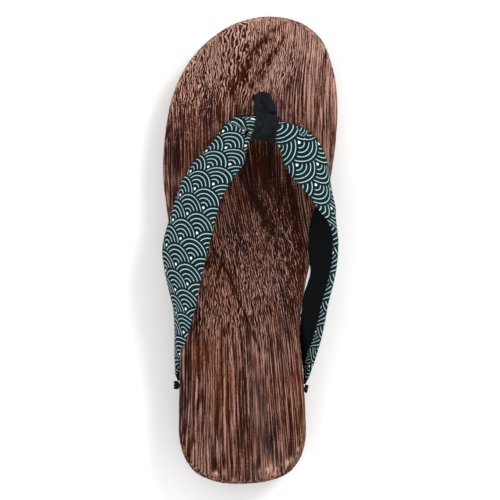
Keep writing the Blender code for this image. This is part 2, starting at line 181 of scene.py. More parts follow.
# Darker (minus) and paler (plus) bars, among them a few of painted shade and painted light
TONES_AND_SHADE = (
    (-23, 5, -9, -19, 0.5, -0.9), (-13, -11, -1.4, -40, 0.5, -0.9), (-4, -32, 6, -58, 0.5, -0.6),
    (-22, -4, -13, -30, 4, -0.14), (-18.6, 1, -6.6, -20, 1.4, 0.12), (-9, -16, 0, -38, 1.4, 0.12),
    (-8, 46, 22, 0, 2.4, -0.25), (-1, 46, 21, 12, 1, 0.15), (-6, 42, 16, 6, 0.6, -0.6),
    # Painted shade with darker burn: the bar from (2, 60), in the hollow between the straps behind the toe
    # loop
    (18.6, 5.8, 25, -16, 1.8, -0.2), (2, 60, 8, 34, 11, -0.78), (9.7, 58, 10, 40, 0.6, 0.5),
    (13.6, 60, 13.8, 46, 0.6, 0.45), (5.4, 56, 4.4, 28, 0.5, 0.35), (12, 46, 20, 14, 8, -0.2),
    # Painted light: the faint pale bar from (29, 106), over the medial forefoot
    (-16, 22, 4, -26, 20, -0.33), (4, -60, 0, -122, 30, -0.06), (29, 106, 37, 62, 15, 0.05),
    (-30, 84, 16, 118, 22, 0.04), (10, 32, 22, 6, 12, -0.3), (27, 22, 28, -28, 5, -0.38),
    (20, -6, 23, -54, 6, -0.3), (-8, 32, 2, 24, 6, -0.28), (6, 20, 13, -2, 5, -0.22),
    (20, 42, 22, 30, 4.5, -0.18), (-24, -12, -26, -42, 3.5, -0.2), (-34, -46, -34, -80, 3, -0.22),
    (-31, 60, -34, 48, 4.5, -0.25), (-33, 86, 0, 88, 3.5, -0.14), (-9, 119, 0, 125, 4, 0.2),
    (30, 121, 39, 113, 4, 0.2), (-17, -64, 6, -70, 3.5, 0.15), (-10, -102, -6, -118, 4.5, 0.16),
    (14, -74, 14, -88, 3, -0.2), (29.5, -62, 30.5, -78, 2.5, -0.24), (-30, -14, -34, -50, 4.5, -0.24),
    (-25, -64, -25, -96, 3, -0.2), (-4, -53, 13, -58, 5, 0.15), (6, -72, 6, -104, 4, 0.12),
    (0, 128, 28, 122, 5, 0.3), (24, 117, 36, 109, 5, 0.26), (-42, 74, -43, 56, 3.5, 0.24),
    (-27, 88, -27, 56, 5, -0.18), (-18, 70, -12, 76, 4, -0.15), (-4, 86, -16, 101, 5, -0.14),
    # Painted shade with darker burn: the bar from (-48, 78), on the lateral forefoot beside the lateral
    # strap
    (16, 87, 22, 83, 4, 0.18), (42, 96, 45, 66, 4, 0.2), (-48, 78, -40, 40, 14, -0.42),
    (19, 127, 1.5, 110.6, 1.8, -0.8), (3.6, 110.6, -10, 88, 2.2, -0.7), (22, 122, 0.6, 92, 1.8, -0.7),
    (-1, 112, -14, 90, 1.5, -0.25), (-36, 80, -22, 104, 3, -0.1), (-30, 100, -16, 74, 3, -0.12),
    (19.8, 115, 8, 90, 3, 0.2), (-18.1, 88.8, -18.1, 74, 5, -0.25),
    (-18.1, -88.8, -18.1, -103.3, 1.4, -0.4), (-27.6, -79.9, -27.6, -87.7, 1.3, -0.3),
    (-3.1, -92.1, -3.1, -102.2, 1.3, -0.4), (0.3, -104.4, 0.3, -114.4, 1.7, -0.35),
    (-19.2, -116.6, -19.2, -124.4, 1.3, -0.35), (19.2, -87.7, 19.2, -96.6, 1.2, -0.35),
    (14.2, -92.1, 14.2, -99.9, 1.2, -0.35), (-5.3, -64.3, -5.3, -73.2, 1.7, -0.35),
    (-38, -78.8, -38, -89.9, 1.4, -0.35), (-37.5, -56, -36, -112, 6, -0.28),
    (-14, -90, -8, -118, 8, -0.08), (-23, -62, -22, -96, 3, 0.1), (28.1, -80.4, 28.1, -99.9, 1.4, -0.4),
    (13.6, -99.9, 13.6, -108.8, 1.2, -0.3), (2.5, -117.7, 2.5, -125.5, 1.2, -0.3),
    (-12.5, -112.2, -12.5, -119.9, 1.2, -0.25), (-30.9, -103.3, -30.9, -108.8, 1.4, -0.25),
    (23.7, -94.4, 23.7, -105.5, 1.2, -0.25),
)
# Redder (plus) and greyer (minus) wood
WARM_ZONES = (
    (19, 125, 3, 110, 5, 1.2), (8, 114, -7, 84, 8, 1), (15.3, 117.2, 29.2, 106.1, 8, 0.5),
    (-44, 70, -22, 112, 12, 0.5), (30, 100, 40, 60, 12, 0.4), (-23, -4, -12, -38, 8, 1.1),
    (-20, -50, -14, -92, 11, 0.9), (26, -60, 28, -110, 6, 0.6), (4, 62, 10, 40, 10, 0.05),
    (-36, -70, -32, -110, 7, -0.6), (2, -56, 7, -130, 5, -0.5), (-20, 8, 2, -20, 10, -0.3),
    (14, -6, 22, -40, 8, -0.4),
)
# Smoother bands, with hardly any fibres showing
PLAIN_ZONES = (
    (-4, -36, 2.5, -58, 2.4, 1), (0.5, -50, 5.8, -88, 2.8, 1.1), (5, -78, 7, -130, 3.6, 1.2),
    (-18.6, 1, -6.6, -20, 1.6, 0.6), (-9, -16, 0, -38, 1.6, 0.6), (14, 126, 1.9, 111.6, 0.9, 0.8),
    (5, 116, -11, 86, 0.9, 0.8), (8, 109, -1, 90, 0.9, 0.7),
)
# Places where the burn has chipped off to bare wood
CHIPS = (
    (28.4, -109, 26.4, -114, 1.4, 1.6), (23, -116.5, 14, -125, 1.7, 1.5), (13, -122, 4, -126, 2.3, 1.5),
    (-15, -124, -20, -124.6, 1.5, 1.5), (-9, -127.6, -5, -128, 1.1, 1.2), (7, 121, 26, 118, 2, 0.6),
    (28, 117, 40, 104, 1.6, 0.6), (4, 91, 12, 90, 1.6, 0.5),
)

# Straps, a row for each section from the lateral tail, through the toe loop, to the medial tail.
# Edge A is the front one at the toe loop and runs low down each side; edge B is the rear one at the
# loop and rises over the foot.
# Columns: A x, A y, A z, B x, B y, B z, thickness, bow of the padded face
STRAP_SECTIONS = (
    (-41, -72.9, 25, -41, -72.9, 27.4, 2.4, 0),
    (-41, -66.5, 25.3, -40.9, -66.5, 31.4, 2.7, 0),
    (-41, -61, 26, -40.3, -61.5, 37, 2.8, 0.3),
    (-40.8, -50.5, 28.5, -38.4, -51.5, 44.5, 3, 0.9),
    (-41, -39.5, 31.5, -35.6, -42, 50, 3.6, 1.4),
    (-42, -31, 34.5, -33.2, -35, 54, 4.2, 1.6),
    (-44.4, -22.2, 37.5, -30.4, -26.2, 57, 4.9, 1.6),
    (-47.2, -11, 40, -28, -14.6, 58, 5.4, 1.6),
    (-48.6, -0.8, 41, -25.8, -5, 57, 5.6, 1.2),
    (-44.2, 19, 40, -22.4, 8.8, 55.5, 5.6, 1),
    (-34.4, 44.6, 38.5, -16.8, 30.2, 54, 5.6, 1),
    (-21, 60, 39.2, -7.4, 44, 50.4, 5.8, 0.8),
    (-13.4, 68.8, 40.4, -3.4, 48.6, 47, 6.4, 0.5),
    (-5.3, 74.3, 41.4, -1.6, 55.8, 44, 7.2, 0.2),
    (3.1, 74.6, 42, 1.2, 63.4, 42.3, 8.4, 0),
    (10, 73.2, 42, 7.8, 62.8, 42, 8.8, 0),
    (16.4, 72, 42, 14, 60.2, 42.1, 8.4, 0),
    (25.3, 69.5, 41.4, 16.8, 55.4, 44.2, 7.2, 0.2),
    (32.8, 66, 40.4, 19.6, 47, 47.2, 6.4, 0.6),
    (38.2, 60.2, 39, 22.8, 41.4, 50.6, 5.8, 1),
    (42, 51.5, 37.4, 26.6, 37.4, 54.2, 5.6, 1.6),
    (43, 42.5, 36.2, 30.9, 32.6, 57.4, 5.6, 2.6),
    (41.5, 34, 35.8, 34.4, 27.8, 59.5, 5.6, 4.2),
    (37.5, 25.5, 36, 39, 21.5, 61, 5.6, 6),
    (34.2, 17, 37, 44.5, 15, 62, 5.6, 4.6),
    (32.8, 7, 38.6, 47.6, 6.2, 62.5, 5.6, 3),
    (32.8, -1.4, 39.8, 47.8, -1.4, 62.5, 5.4, 2.5),
    (33.4, -9.4, 40.8, 47, -9.6, 62.2, 5.2, 2.2),
    (31.7, -19, 40.6, 45.2, -19.4, 61, 5, 1.8),
    (29.5, -28.7, 39, 43, -28.9, 59, 4.6, 1.2),
    (28.7, -40.4, 34.5, 41, -40.6, 54.5, 4, 1),
    (28.9, -49.8, 31, 39, -50, 49, 3.6, 0.6),
    (29.7, -58.2, 28.2, 36.6, -58.4, 43, 3.2, 0.3),
    (30.8, -66.5, 26.2, 34, -66.6, 36, 2.8, 0.1),
    (31.6, -74.9, 25.2, 31.6, -74.9, 27.2, 2.2, 0),
)
JUNCTION_ROW = 15
STRAP_PITCH = 0.8
STRAP_AROUND = 112
PADDED_SHARE = 0.6
SECTION_POWER = 0.85

# Toe loop: a cloth band round the straps, with a stem down through the sole to a knot
LOOP_HALF_WIDTH = 6.8
LOOP_WALL = 1.9
LOOP_RINGS = 29
STEM_HOLE = (6.9, 84.2)
# Columns: x, y, z, half width across, half width along
STEM_SECTIONS = (
    (6.9, 84.2, 8, 4.6, 3.4),
    (6.9, 84.2, 26, 4.8, 3.6),
    (6.9, 84.2, 31.4, 4.9, 3.7),
    (7.4, 83, 34.6, 5.2, 3.9),
    (8.1, 79.4, 37.8, 6.3, 3.8),
    (9.4, 74.6, 39.8, 6.4, 3.4),
)
STEM_RINGS = 45
STEM_AROUND = 48
HOLE_RADII = (5.3, 4.1)
KNOT_CENTRE_Z = 6.4
KNOT_RADII = (8, 7, 3.6)
KNOT_RINGS = 21
KNOT_POLE = 0.46
RECESS_RADIUS = 10.5
RECESS_DEPTH = 11
LOOP_VOXEL = 0.45
LOOP_SMOOTHING = 6

# Tail knots: turns of cord against the wall of the sole, with a peg in a blind socket
TURN_PITCH = 1.6
TURNS = 3
PEG_RADIUS = 1.2
PEG_DEPTH = 7
SOCKET_DEPTH = 7.8
SOCKET_AROUND = 24
# Columns: name, side of the sole, station of the first turn, height, wall of the sole, turn radius,
# share by which the turns draw in to the last
TAIL_KNOTS = (
    ("lateral", -1, -73.2, 26.2, -39.2, 1.6, 0),
    ("medial", 1, -75.3, 26.2, 30.1, 1.25, 0.9),
)
END_TURN = 0.16
CORD_STRANDS = 3
CORD_LAY = 2.6
CORD_AROUND = 24
CORD_STEPS = 160
CORD_VOXEL = 0.11
CORD_SMOOTHING = 2
# As shares of the cord's radius: how far in the first turn lies, and the depth between two strands
FIRST_TURN = 0.8
LAY_DEPTH = 0.14
# The blunt ends of the cord
END_POWER = 60
END_SHARE = 0.06

# Printed waves, as shares of their radius: plain margin, first ring, step from ring to ring, where the
# rings start and end, edge of the pearl
WAVE_MARGIN = 1.17
RING_START = 0.05
RING_STEP = 0.24
RING_LIMITS = (0.17, 1.06)
PEARL_EDGE = (0.09, 0.07)
# Rows of waves that can reach one place
WAVE_ROWS = 4
# In metres: where the waves of a row are counted from, and the pitch of the threads
WAVE_START = 0.5
STRAP_WEAVE = 0.00055
LOOP_WEAVE = 0.0006

# Cells of noise to the width of a fibre, and how many times finer the dashes are
FIBRE_CELLS = 2.1
DASH_FINENESS = 1.25
# Fineness of the noises, in cells to a metre: on the wood across, along and down the grain
GRAIN_DRIFT = (22, 8, 22)
SLOW_WANDER = (330, 15, 330)
QUICK_WANDER = (330, 190, 330)
NARROW_LINES = (1900, 95, 1900)
BROKEN_LINES = (1900, 250, 1900)
FINE_LINES = (1150, 28, 1150)
CHAR_PATCHES = (420, 45, 420)
CLOUDS = (95, 30, 95)
BEADS = (1300, 1000, 1300)
RUBBED_PATCHES = (260, 90, 260)
INK_FLECKS = (900, 900, 900)
CLOTH_CLOUDS = (120, 120, 120)
FLOOR_CLOUDS = (40, 40, 40)
# How far the grain drifts, in metres, and how many turns the strands wander
DRIFT_REACH = 0.007
WANDER_TURNS = 2.7
# Levels of the noise where a dark crack and a pale thread run
LINE_LEVELS = (0.47, 0.56)

# Ranges of the wood: a noise or a number from its points, from one value to another, and what it is
# turned into there, such as a tone or a share. Without the last two numbers it becomes 0 to 1.
RAISED_FIBRES = (0.42, 0.6, -0.75, 0.25)
FIBRE_TONE = (0.44, 0.62, -0.26, 0.26)
CRACK_TONE = (0, 0.035, -0.4, 0)
THREAD_TONE = (0, 0.03, 0.26, 0)
NARROW_TONE = (0.32, 0.7, -0.15, 0.15)
BEAD_TONE = (0.25, 0.75, -0.08, 0.08)
CHAR_TONE = (0.38, 0.55, 0.38, 0.54)
CLOUD_TONE = (0.3, 0.7, -0.07, 0.07)
LINES_IN_DASHES = (0, 1, 1, 0.25)
STRANDS_IN_DASHES = (0, 1, 0.25, 0.46)
CONTRAST_IN_DASHES = (0.4, 1, 1, 1.25)
CONTRAST_IN_PLAIN = (0, 1, 1, 0.45)
CONTRAST_ON_ENDS = (0.3, 0.85, 1, 0.35)
RUBBED_OFF = (0.45, 0.62)
WEAR_TO_TOE = (0.02, 0.1, 0.15, 1)
WEAR_FROM_RIM = (1.6, 0.3, 0, 0.5)
MOST_WORN = 0.9
CLOUD_WARMTH = (0.35, 0.65, 0.1, 0.7)
RIDGES_TO_TOE = (0.045, 0.1)
GROOVE_TO_WOOD = (0, 0.5)
WOOD_TO_RIDGE = (0.4, 1)
WOOD_ROUGHNESS = (0, 1, 0.72, 0.5)
# Ranges of the cloth: edge of a printed line, wear of its ink, and the soft shades of the ground, of
# the floor and of the black cloth
LINE_EDGE = (0.125, 0.068)
INK_WEAR = (0.25, 0.55, 0.6, 1)
SOFT_SHADES = (0.3, 0.7)
BLACK_SHADES = (0.35, 0.7)
# How much paler the ground gets, and how much darker the floor
GROUND_PALER = 1.35
FLOOR_DARKER = 0.985
# Bumps: depth in metres, strength
FIBRE_BUMP = (0.0008, 0.6)
NARROW_BUMP = (0.0003, 0.6)
SLUB_BUMP = (0.0006, 0.5)
STRAP_BUMP = (0.00012, 0.8)
LOOP_BUMP = (0.00014, 0.8)

# Numbers that the wood reads from its points
WOOD_MARKS = ("lean", "depth", "dashes", "tone_and_shade", "warmth", "plain", "chipped", "rim", "end_grain")

# Lining of the straps: how far the wave cloth laps round edge B on to the lining side
# Columns: distance along from the toe loop, lap
LINING_LAPS = (
    (-170, 2.5), (44, 2.5), (48, 0), (55, 0.6), (62, 2), (70, 3.4), (85, 3.8), (100, 4.4), (115, 5.2),
    (128, 7), (146, 9.5), (165, 10),
)
LAP_AT_EDGE_A = -1.5
# Length of each tail that is wrapped in black, and the share by which it is drawn in at its end
TAIL_WRAP = 4
TAIL_TAPER = 0.5
# Groove where the wave cloth meets the lining
SEAM_WIDTH = 0.45
SEAM_DEPTH = 0.4
# How far from the toe loop and from the tails the creases reach their full height
LOOP_FADE = 2
END_FADE = 8
# Half the width over which the cloth is measured round a strap
CLOTH_REACH = 32

# Creases of the straps, as listed: soft troughs (minus) and ridges (plus)
# Columns: from along, from across, to along, to across, half width, height
# Along is from the toe loop, and across is from the middle of the padded face towards edge B
STRAP_CREASES = (
    (-17.5, -7.5, -8, 6, 1.1, -2.2), (-12, -9.5, -24, -12, 3.6, 1.7), (-13.6, 0.6, -10.2, 3.4, 1.5, -2.4),
    (-8.5, -6, -10.5, -1, 2.4, 0.7), (-7.5, -6, -17, -12, 1.2, -0.9), (-7.5, 3, -20, 8.5, 1.2, -0.9),
    (-15, 3.5, -34, 6, 2.2, -0.5), (-19, -3, -44, -2, 2.8, -0.35), (-94, 7, -113, 2, 3.6, -0.5),
    (-118, -4, -134, 2, 2.6, -0.5), (11, -9.5, 21.5, -6, 1, -1.3), (7.5, -3, 13, -4.5, 1, -0.7),
    (7.5, 1.5, 16, 3, 1.2, -0.9), (8, 5, 21, 10, 1.4, -0.7), (10, -6, 21, -12, 2.4, 0.6),
    (20, 0, 46, 1, 2.8, -0.3), (70, 26, 92, 30, 2.6, -0.35), (98, 24, 122, 22, 2.4, -0.35),
)

# How far each strap's low edge is laid in against the wall of the sole, by station
# Columns: station, medial strap, lateral strap
PRESSES = (
    (-80, 0.9, 0.85), (-66, 0.9, 0.85), (-58, 0.7, 0.6), (-30, 0.7, 0.3), (-24, 0, 0),
)
# Gap within which the amount is whole, how far beyond it fades, the gap that is left, and the height
# above the footbed over which it fades
PRESS_GAP = 0.8
PRESS_FADE = 6
PRESS_CLEAR = 0.12
PRESS_RISE = 4
# Row of the sole's heights that gives the wall at the tails
TAIL_ROW = 3
# The slit of light between the medial strap's edge A and the sole: how far the edge is held out
# Columns: station, shift
SLIT = (
    (-36, 0), (-33, 0), (-28, -0.2), (-23, -0.25), (-20, 0.25), (-17, 0.65), (-14, 0.8), (-11, 0.65),
    (-8.5, 0.1), (-6, 0),
)
SLIT_REACH = 5
# The lateral strap's edge B: how far it rolls in over the footbed
# Columns: station, shift
ROLL = (
    (-67, 0), (-60, 1.2), (-55, 2.1), (-50, 2.5), (-44, 2.4), (-36, 2), (-28, 1.3), (-20, 0.8), (-8, 1.1),
    (10, 1.2), (30, 1.7), (44, 0.9), (50, 0),
)
# Height over the footbed where the roll starts, the height over which it grows, and the share of the
# half width past the middle of the ring where it starts
ROLL_CLEAR = 0.4
ROLL_REACH = 2.6
ROLL_FROM = 0.3

# Tucks of the straps: the cloth on one side of a line is drawn under, which shifts its waves
# Columns: from along, from across, to along, to across, shift along, shift across
STRAP_TUCKS = (
    (-17.5, -7.5, -8, 6, 7, 5), (11, -9.5, 21.5, -6, -5, 6),
)
TUCK_REACH = 9
# Where along its line a tuck is deepest, and how fast it fades to both ends
TUCK_MIDDLE = 0.4
TUCK_FADE = 1.5
# Black put in a deep fold beside the toe loop: lining that shows there, and painted shade in the fold
# Columns: from along, from across, to along, to across, half width, depth
FOLD_LINING_AND_SHADE = ((-13.8, 0.4, -9.8, 3.6, 1.8, 1),)
# Depth at which the black of lining and painted shade starts to show
FOLD_SHOWS = 0.5

# Wave cloth: where the lengths along each strap start, and what the pattern has there
# Columns: side of the loop, place of equal lengths, pattern length there, shift across, stretch across,
# stretch along
WAVE_CUTS = (
    (-1, -65, 18.1, -1.3, 1.16, 1),
    (1, 35, 28, -0.6, 1, 0.91),
)

# Folds of the toe loop, seen from above, as listed
# Columns: from x, from y, to x, to y, half width, height
LOOP_FOLDS = (
    (4.4, 85.4, 9.8, 77, 0.9, -1.3), (7.6, 82.4, 9.4, 80.6, 0.8, -1), (8, 87, 13.6, 78.4, 1.2, 0.6),
    (2.8, 84, 5.4, 77.6, 1, 0.5), (2.6, 76.8, 15.5, 76, 0.8, -0.6), (5, 74, 6.2, 60, 0.8, -0.3),
    (10.6, 75, 13, 60, 0.9, -0.4), (14.4, 73, 15.2, 60, 0.7, -0.25),
)
# The folds lie on cloth that faces up. They start at this height, reach their full height this far
# above it, and need normals that rise this much.
LOOP_TOP = 36
LOOP_TOP_FADE = 4
LOOP_TOP_TURN = 0.5

# Stage, in metres apart from the long lens and its sensor: floor, lights and a camera straight above
FLOOR_REACH = 3
KEY_PLACE = (1.24, 1.24, 2.5)
KEY_SIZE = 0.9
FILL_PLACE = (-0.8, -0.3, 2.6)
FILL_SIZE = 2.4
LENS = 600
SENSOR = 36
VIEW_WIDTH = 0.27835
PLANE_HEIGHT = 0.04


def size_setting(name, description, default):
    """A length that a user can change."""
    return bpy.props.FloatProperty(name=name, description=description, default=default, unit="LENGTH")


def power_setting(name, description, default):
    """The power of a light that a user can change."""
    return bpy.props.FloatProperty(name=name, description=description, default=default, unit="POWER")


def colour_setting(name, description, default):
    """A colour that a user can change."""
    return bpy.props.FloatVectorProperty(
        name=name, description=description, default=(*default, 1), subtype="COLOR", size=4, min=0, max=1
    )


class GetaWood(bpy.types.PropertyGroup):
    """Burnt and brushed wood of the sole."""

    fibre_width: size_setting("Fibre Width", "Width of one raised fibre", 0.0015)
    fibre_length: size_setting("Fibre Length", "Length of a fibre that lies level", 0.034)
    strand_width: size_setting("Strand Width", "From one fine strand to the next", 0.00125)
    dash_length: size_setting("Dash Length", "Length of a fibre where the surface cuts the grain", 0.0052)
    relief: size_setting("Relief", "Depth brushed out between the fibres", 0.0004)
    ridge_colour: colour_setting("Ridges", "Brushed ridges of the grain", (0.355, 0.196, 0.154))
    rubbed_colour: colour_setting("Rubbed Ridges", "The same in the toe part", (0.49, 0.285, 0.23))
    middle_colour: colour_setting("Wood", "Wood between ridges and grooves", (0.07, 0.0315, 0.0275))
    warm_colour: colour_setting("Warm Wood", "The same where it is redder", (0.125, 0.036, 0.015))
    groove_colour: colour_setting("Grooves", "Charred grooves of the grain", (0.011, 0.0034, 0.0028))
    warm_groove_colour: colour_setting("Warm Grooves", "The same in redder wood", (0.026, 0.0055, 0.0018))
    worn_colour: colour_setting("Worn Edges", "Bare wood where the burn is rubbed off", (0.6, 0.35, 0.24))


class GetaCloth(bpy.types.PropertyGroup):
    """Cloth of the straps, the toe loop and the tails."""

    wave_radius: size_setting("Wave Radius", "Radius of one printed wave", 0.01015)
    wave_rise: size_setting("Wave Rise", "Step from one row of waves to the next", 0.00722)
    ground_colour: colour_setting("Ground", "Dyed ground of the wave cloth", (0.0034, 0.0146, 0.0148))
    wave_colour: colour_setting("Waves", "Printed lines of the waves", (0.466, 0.621, 0.655))
    pearl_colour: colour_setting("Pearls", "Dot at the middle of each wave", (0.98, 0.95, 0.88))
    lining_colour: colour_setting("Lining", "Black cloth of lining and toe loop", (0.0045, 0.0058, 0.0072))


class GetaStage(bpy.types.PropertyGroup):
    """Floor and lights."""

    floor_colour: colour_setting("Floor", "Plain pale floor", (0.99, 0.99, 0.99))
    key_power: power_setting("Key Light", "Large soft light from the toe and medial side", 34)
    fill_power: power_setting("Fill Light", "Large soft light from overhead", 14)
    sky: bpy.props.FloatProperty(name="Sky", description="Strength of the light all round", default=0.95)


class Nodes:
    """Adds nodes to one tree. Each call but link returns the new node's output."""

    def __init__(self, tree):
        self.tree = tree

    def link(self, node, inputs):
        """Sets or links the inputs of a node, by name or number."""
        for key, value in inputs.items():
            if isinstance(value, bpy.types.NodeSocket):
                self.tree.links.new(value, node.inputs[key])
            else:
                node.inputs[key].default_value = value

    def add(self, kind, inputs=None, output=0, **settings):
        """A node with its settings made and its inputs set or linked."""
        node = self.tree.nodes.new(kind)
        for name, value in settings.items():
            setattr(node, name, value)
        self.link(node, inputs or {})
        return node.outputs[output]

    def maths(self, operation, first, *others, clamp=False):
        """A sum on one number, on two, or on more of them in turn."""
        for other in others or (0,):
            first = self.add("ShaderNodeMath", {0: first, 1: other}, operation=operation)
        first.node.use_clamp = clamp
        return first

    def joined(self, x, y, z):
        """Three numbers as a vector."""
        return self.add("ShaderNodeCombineXYZ", {0: x, 1: y, 2: z})

    def parts(self, vector):
        """The three numbers of a vector."""
        outputs = self.add("ShaderNodeSeparateXYZ", {0: vector}).node.outputs
        return outputs[0], outputs[1], outputs[2]

    def noise(self, place, fineness, detail=2, roughness=0.5):
        """Soft noise from about 0.2 to 0.8, as fine along each way as the number given for it."""
        drawn = self.add("ShaderNodeVectorMath", {0: place, 1: fineness}, operation="MULTIPLY")
        inputs = {"Vector": drawn, "Scale": 1, "Detail": detail, "Roughness": roughness}
        return self.add("ShaderNodeTexNoise", inputs)

    def spread(self, value, low, high, to_low=0, to_high=1):
        """A number taken from one range to another along a soft step, held at its ends."""
        inputs = {"Value": value, "From Min": low, "From Max": high, "To Min": to_low, "To Max": to_high}
        return self.add("ShaderNodeMapRange", inputs, interpolation_type="SMOOTHSTEP")

    def between(self, factor, first, second):
        """A number mixed from two."""
        return self.add("ShaderNodeMix", {0: factor, 2: first, 3: second}, data_type="FLOAT")

    def mixed(self, factor, first, second):
        """A colour mixed from two."""
        return self.add("ShaderNodeMix", {0: factor, 6: first, 7: second}, output=2, data_type="RGBA")

    def bumped(self, height, distance, strength, normal=None):
        """A normal bent by a height, over another normal where one is given."""
        inputs = {"Height": height, "Distance": distance, "Strength": strength}
        return self.add("ShaderNodeBump", inputs if normal is None else {**inputs, "Normal": normal})

    def place(self):
        """The place on the object, in metres."""
        return self.add("ShaderNodeTexCoord", output="Object")

    def attribute(self, name):
        """A number kept on the points of the mesh."""
        return self.add("ShaderNodeAttribute", output="Fac", attribute_name=name)


def new_material(name):
    """A material with its node adder and its Principled shader."""
    material = bpy.data.materials.new(name)
    material.use_nodes = True
    return material, Nodes(material.node_tree), material.node_tree.nodes["Principled BSDF"]


def shaded(colour, factor):
    """A colour made paler or darker by a factor."""
    return [factor * part for part in colour[:3]] + [1]


def read_off(table, at, column=1):
    """A column of a table, read at places along its first column by straight lines."""
    rows = np.array(table)
    return np.interp(at, rows[:, 0], rows[:, column])


def smooth(knots, values, at):
    """Cubic through the rows of values at their knots, read at other places."""
    knots = np.asarray(knots, float)
    values = np.asarray(values, float)
    at = np.asarray(at, float)
    slope = np.gradient(values, knots, axis=0)
    low = np.clip(np.searchsorted(knots, at, side="right") - 1, 0, len(knots) - 2)
    shape = at.shape + (1,) * (values.ndim - 1)
    span = (knots[low + 1] - knots[low]).reshape(shape)
    part = (at - knots[low]).reshape(shape) / span
    rest = 1 - part
    start = (1 + 2 * part) * rest**2 * values[low] + part * rest**2 * span * slope[low]
    end = (3 - 2 * part) * part**2 * values[low + 1] - rest * part**2 * span * slope[low + 1]
    return start + end


def chord_lengths(points):
    """Distance along a run of points, from its first."""
    steps = np.linalg.norm(np.diff(points, axis=0), axis=1)
    return np.concatenate([[0], np.cumsum(steps)])


def unit(vectors):
    """Vectors at length one."""
    return vectors / np.linalg.norm(vectors, axis=-1, keepdims=True)


def full_turn(count):
    """Even angles round a closed ring."""
    return np.linspace(0, 2 * np.pi, count, endpoint=False)


def body(name, rings, capped=True, marks=None):
    """A closed body through rings of points in millimetres, with numbers kept on its points.

    Each ring is joined to the next by quads. Capped, the two end rings are filled. Otherwise each end
    ring lies folded on a line, whose doubled points are merged.
    """
    count, around, _ = rings.shape
    row = np.arange(count - 1)[:, None] * around
    column = np.arange(around)[None, :]
    following = (column + 1) % around
    corners = (row + column, row + following, row + around + following, row + around + column)
    faces = np.stack(corners, axis=-1).reshape(-1, 4).tolist()
    if capped:
        faces.append(list(range(around))[::-1])
        faces.append(list(range((count - 1) * around, count * around)))
    mesh = bpy.data.meshes.new(name)
    mesh.from_pydata((rings.reshape(-1, 3) * MM).tolist(), [], faces)
    keep_marks(mesh, marks or {})
    shell = bmesh.new()
    shell.from_mesh(mesh)
    bmesh.ops.remove_doubles(shell, verts=shell.verts, dist=MERGE_WITHIN)
    bmesh.ops.recalc_face_normals(shell, faces=shell.faces)
    shell.to_mesh(mesh)
    shell.free()
    obj = bpy.data.objects.new(name, mesh)
    bpy.context.scene.collection.objects.link(obj)
    return obj


def prism(name, outline, axis, low, high):
    """A flat outline pulled along an axis, closed at both ends."""
    return body(name, np.array([np.insert(outline, axis, level, axis=1) for level in (low, high)]))


def oval(radii, centre, count):
    """Points of an oval in a plane."""
    turn = full_turn(count)
    return np.column_stack([centre[0] + radii[0] * np.cos(turn), centre[1] + radii[1] * np.sin(turn)])


def combine(obj, other, operation):
    """Adds an exact Boolean to an object."""
    modifier = obj.modifiers.new(other.name, "BOOLEAN")
    modifier.operation = operation
    modifier.solver = "EXACT"
    modifier.object = other


def settle(obj, material, sharp_degrees):
    """Applies an object's modifiers, removes their helpers and gives it its material."""
    graph = bpy.context.evaluated_depsgraph_get()
    finished = obj.evaluated_get(graph)
    mesh = bpy.data.meshes.new_from_object(finished, preserve_all_data_layers=True, depsgraph=graph)
    helpers = [modifier.object for modifier in obj.modifiers if modifier.type == "BOOLEAN"]
    obj.modifiers.clear()
    obj.data = mesh
    for helper in helpers:
        bpy.data.objects.remove(helper)
    mesh.materials.clear()
    mesh.materials.append(material)
    mesh.shade_smooth()
    mesh.set_sharp_from_angle(angle=np.radians(sharp_degrees))
    return obj


def points_of(mesh):
    """The points of a mesh, in millimetres."""
    flat = np.empty(len(mesh.vertices) * 3, np.float32)
    mesh.vertices.foreach_get("co", flat)
    return flat.reshape(-1, 3).astype(float) / MM


def set_points(mesh, points):
    """Writes points in millimetres back to a mesh."""
    mesh.vertices.foreach_set("co", (points * MM).astype(np.float32).ravel())
    mesh.update()


def normals_of(mesh):
    """The normals at the points of a mesh."""
    flat = np.empty(len(mesh.vertices) * 3, np.float32)
    mesh.vertex_normals.foreach_get("vector", flat)
    return flat.reshape(-1, 3)


def keep_marks(mesh, marks):
    """Keeps named numbers on the points of a mesh."""
    for name, values in marks.items():
        kept = mesh.attributes.get(name) or mesh.attributes.new(name, "FLOAT", "POINT")
        kept.data.foreach_set("value", np.ascontiguousarray(values, np.float32).ravel())


def sole_sides():
    """Outline of the sole as two runs, lateral and medial, each from the heel tip to the toe tip."""
    rows = np.array(SOLE_OUTLINE)
    lateral = np.column_stack([rows[:, 1], rows[:, 0]])
    medial = np.column_stack([rows[:, 2], rows[:, 0]])
    loop = np.vstack([HEEL_TIP, medial, TOE_TIP, lateral[::-1]])
    wrapped = np.vstack([loop, loop, loop, loop[:1]])
    along = chord_lengths(wrapped)
    heel = along[len(loop)]
    toe = along[len(loop) + len(medial) + 1]
    next_heel = along[2 * len(loop)]
    even = np.linspace(0, 1, OUTLINE_STEPS + 1)
    even = even - TIP_CROWDING * np.sin(2 * np.pi * even)
    right = smooth(along, wrapped, heel + even * (toe - heel))
    left = smooth(along, wrapped, next_heel - even * (next_heel - toe))
    return left, right


def clockwise(left, right):
    """Two runs from heel to toe as one closed ring, clockwise seen from above."""
    return np.vstack([right[:0:-1], left[:-1]])


def inward(ring, distance):
    """A clockwise ring moved in square to itself."""
    ahead = np.roll(ring, -1, axis=0) - np.roll(ring, 1, axis=0)
    return ring + distance * unit(np.column_stack([ahead[:, 1], -ahead[:, 0]]))


def sole_edges(y):
    """The lateral and the medial edge of the sole at stations along it."""
    return [np.interp(y, side[:, 1], side[:, 0]) for side in sole_sides()]


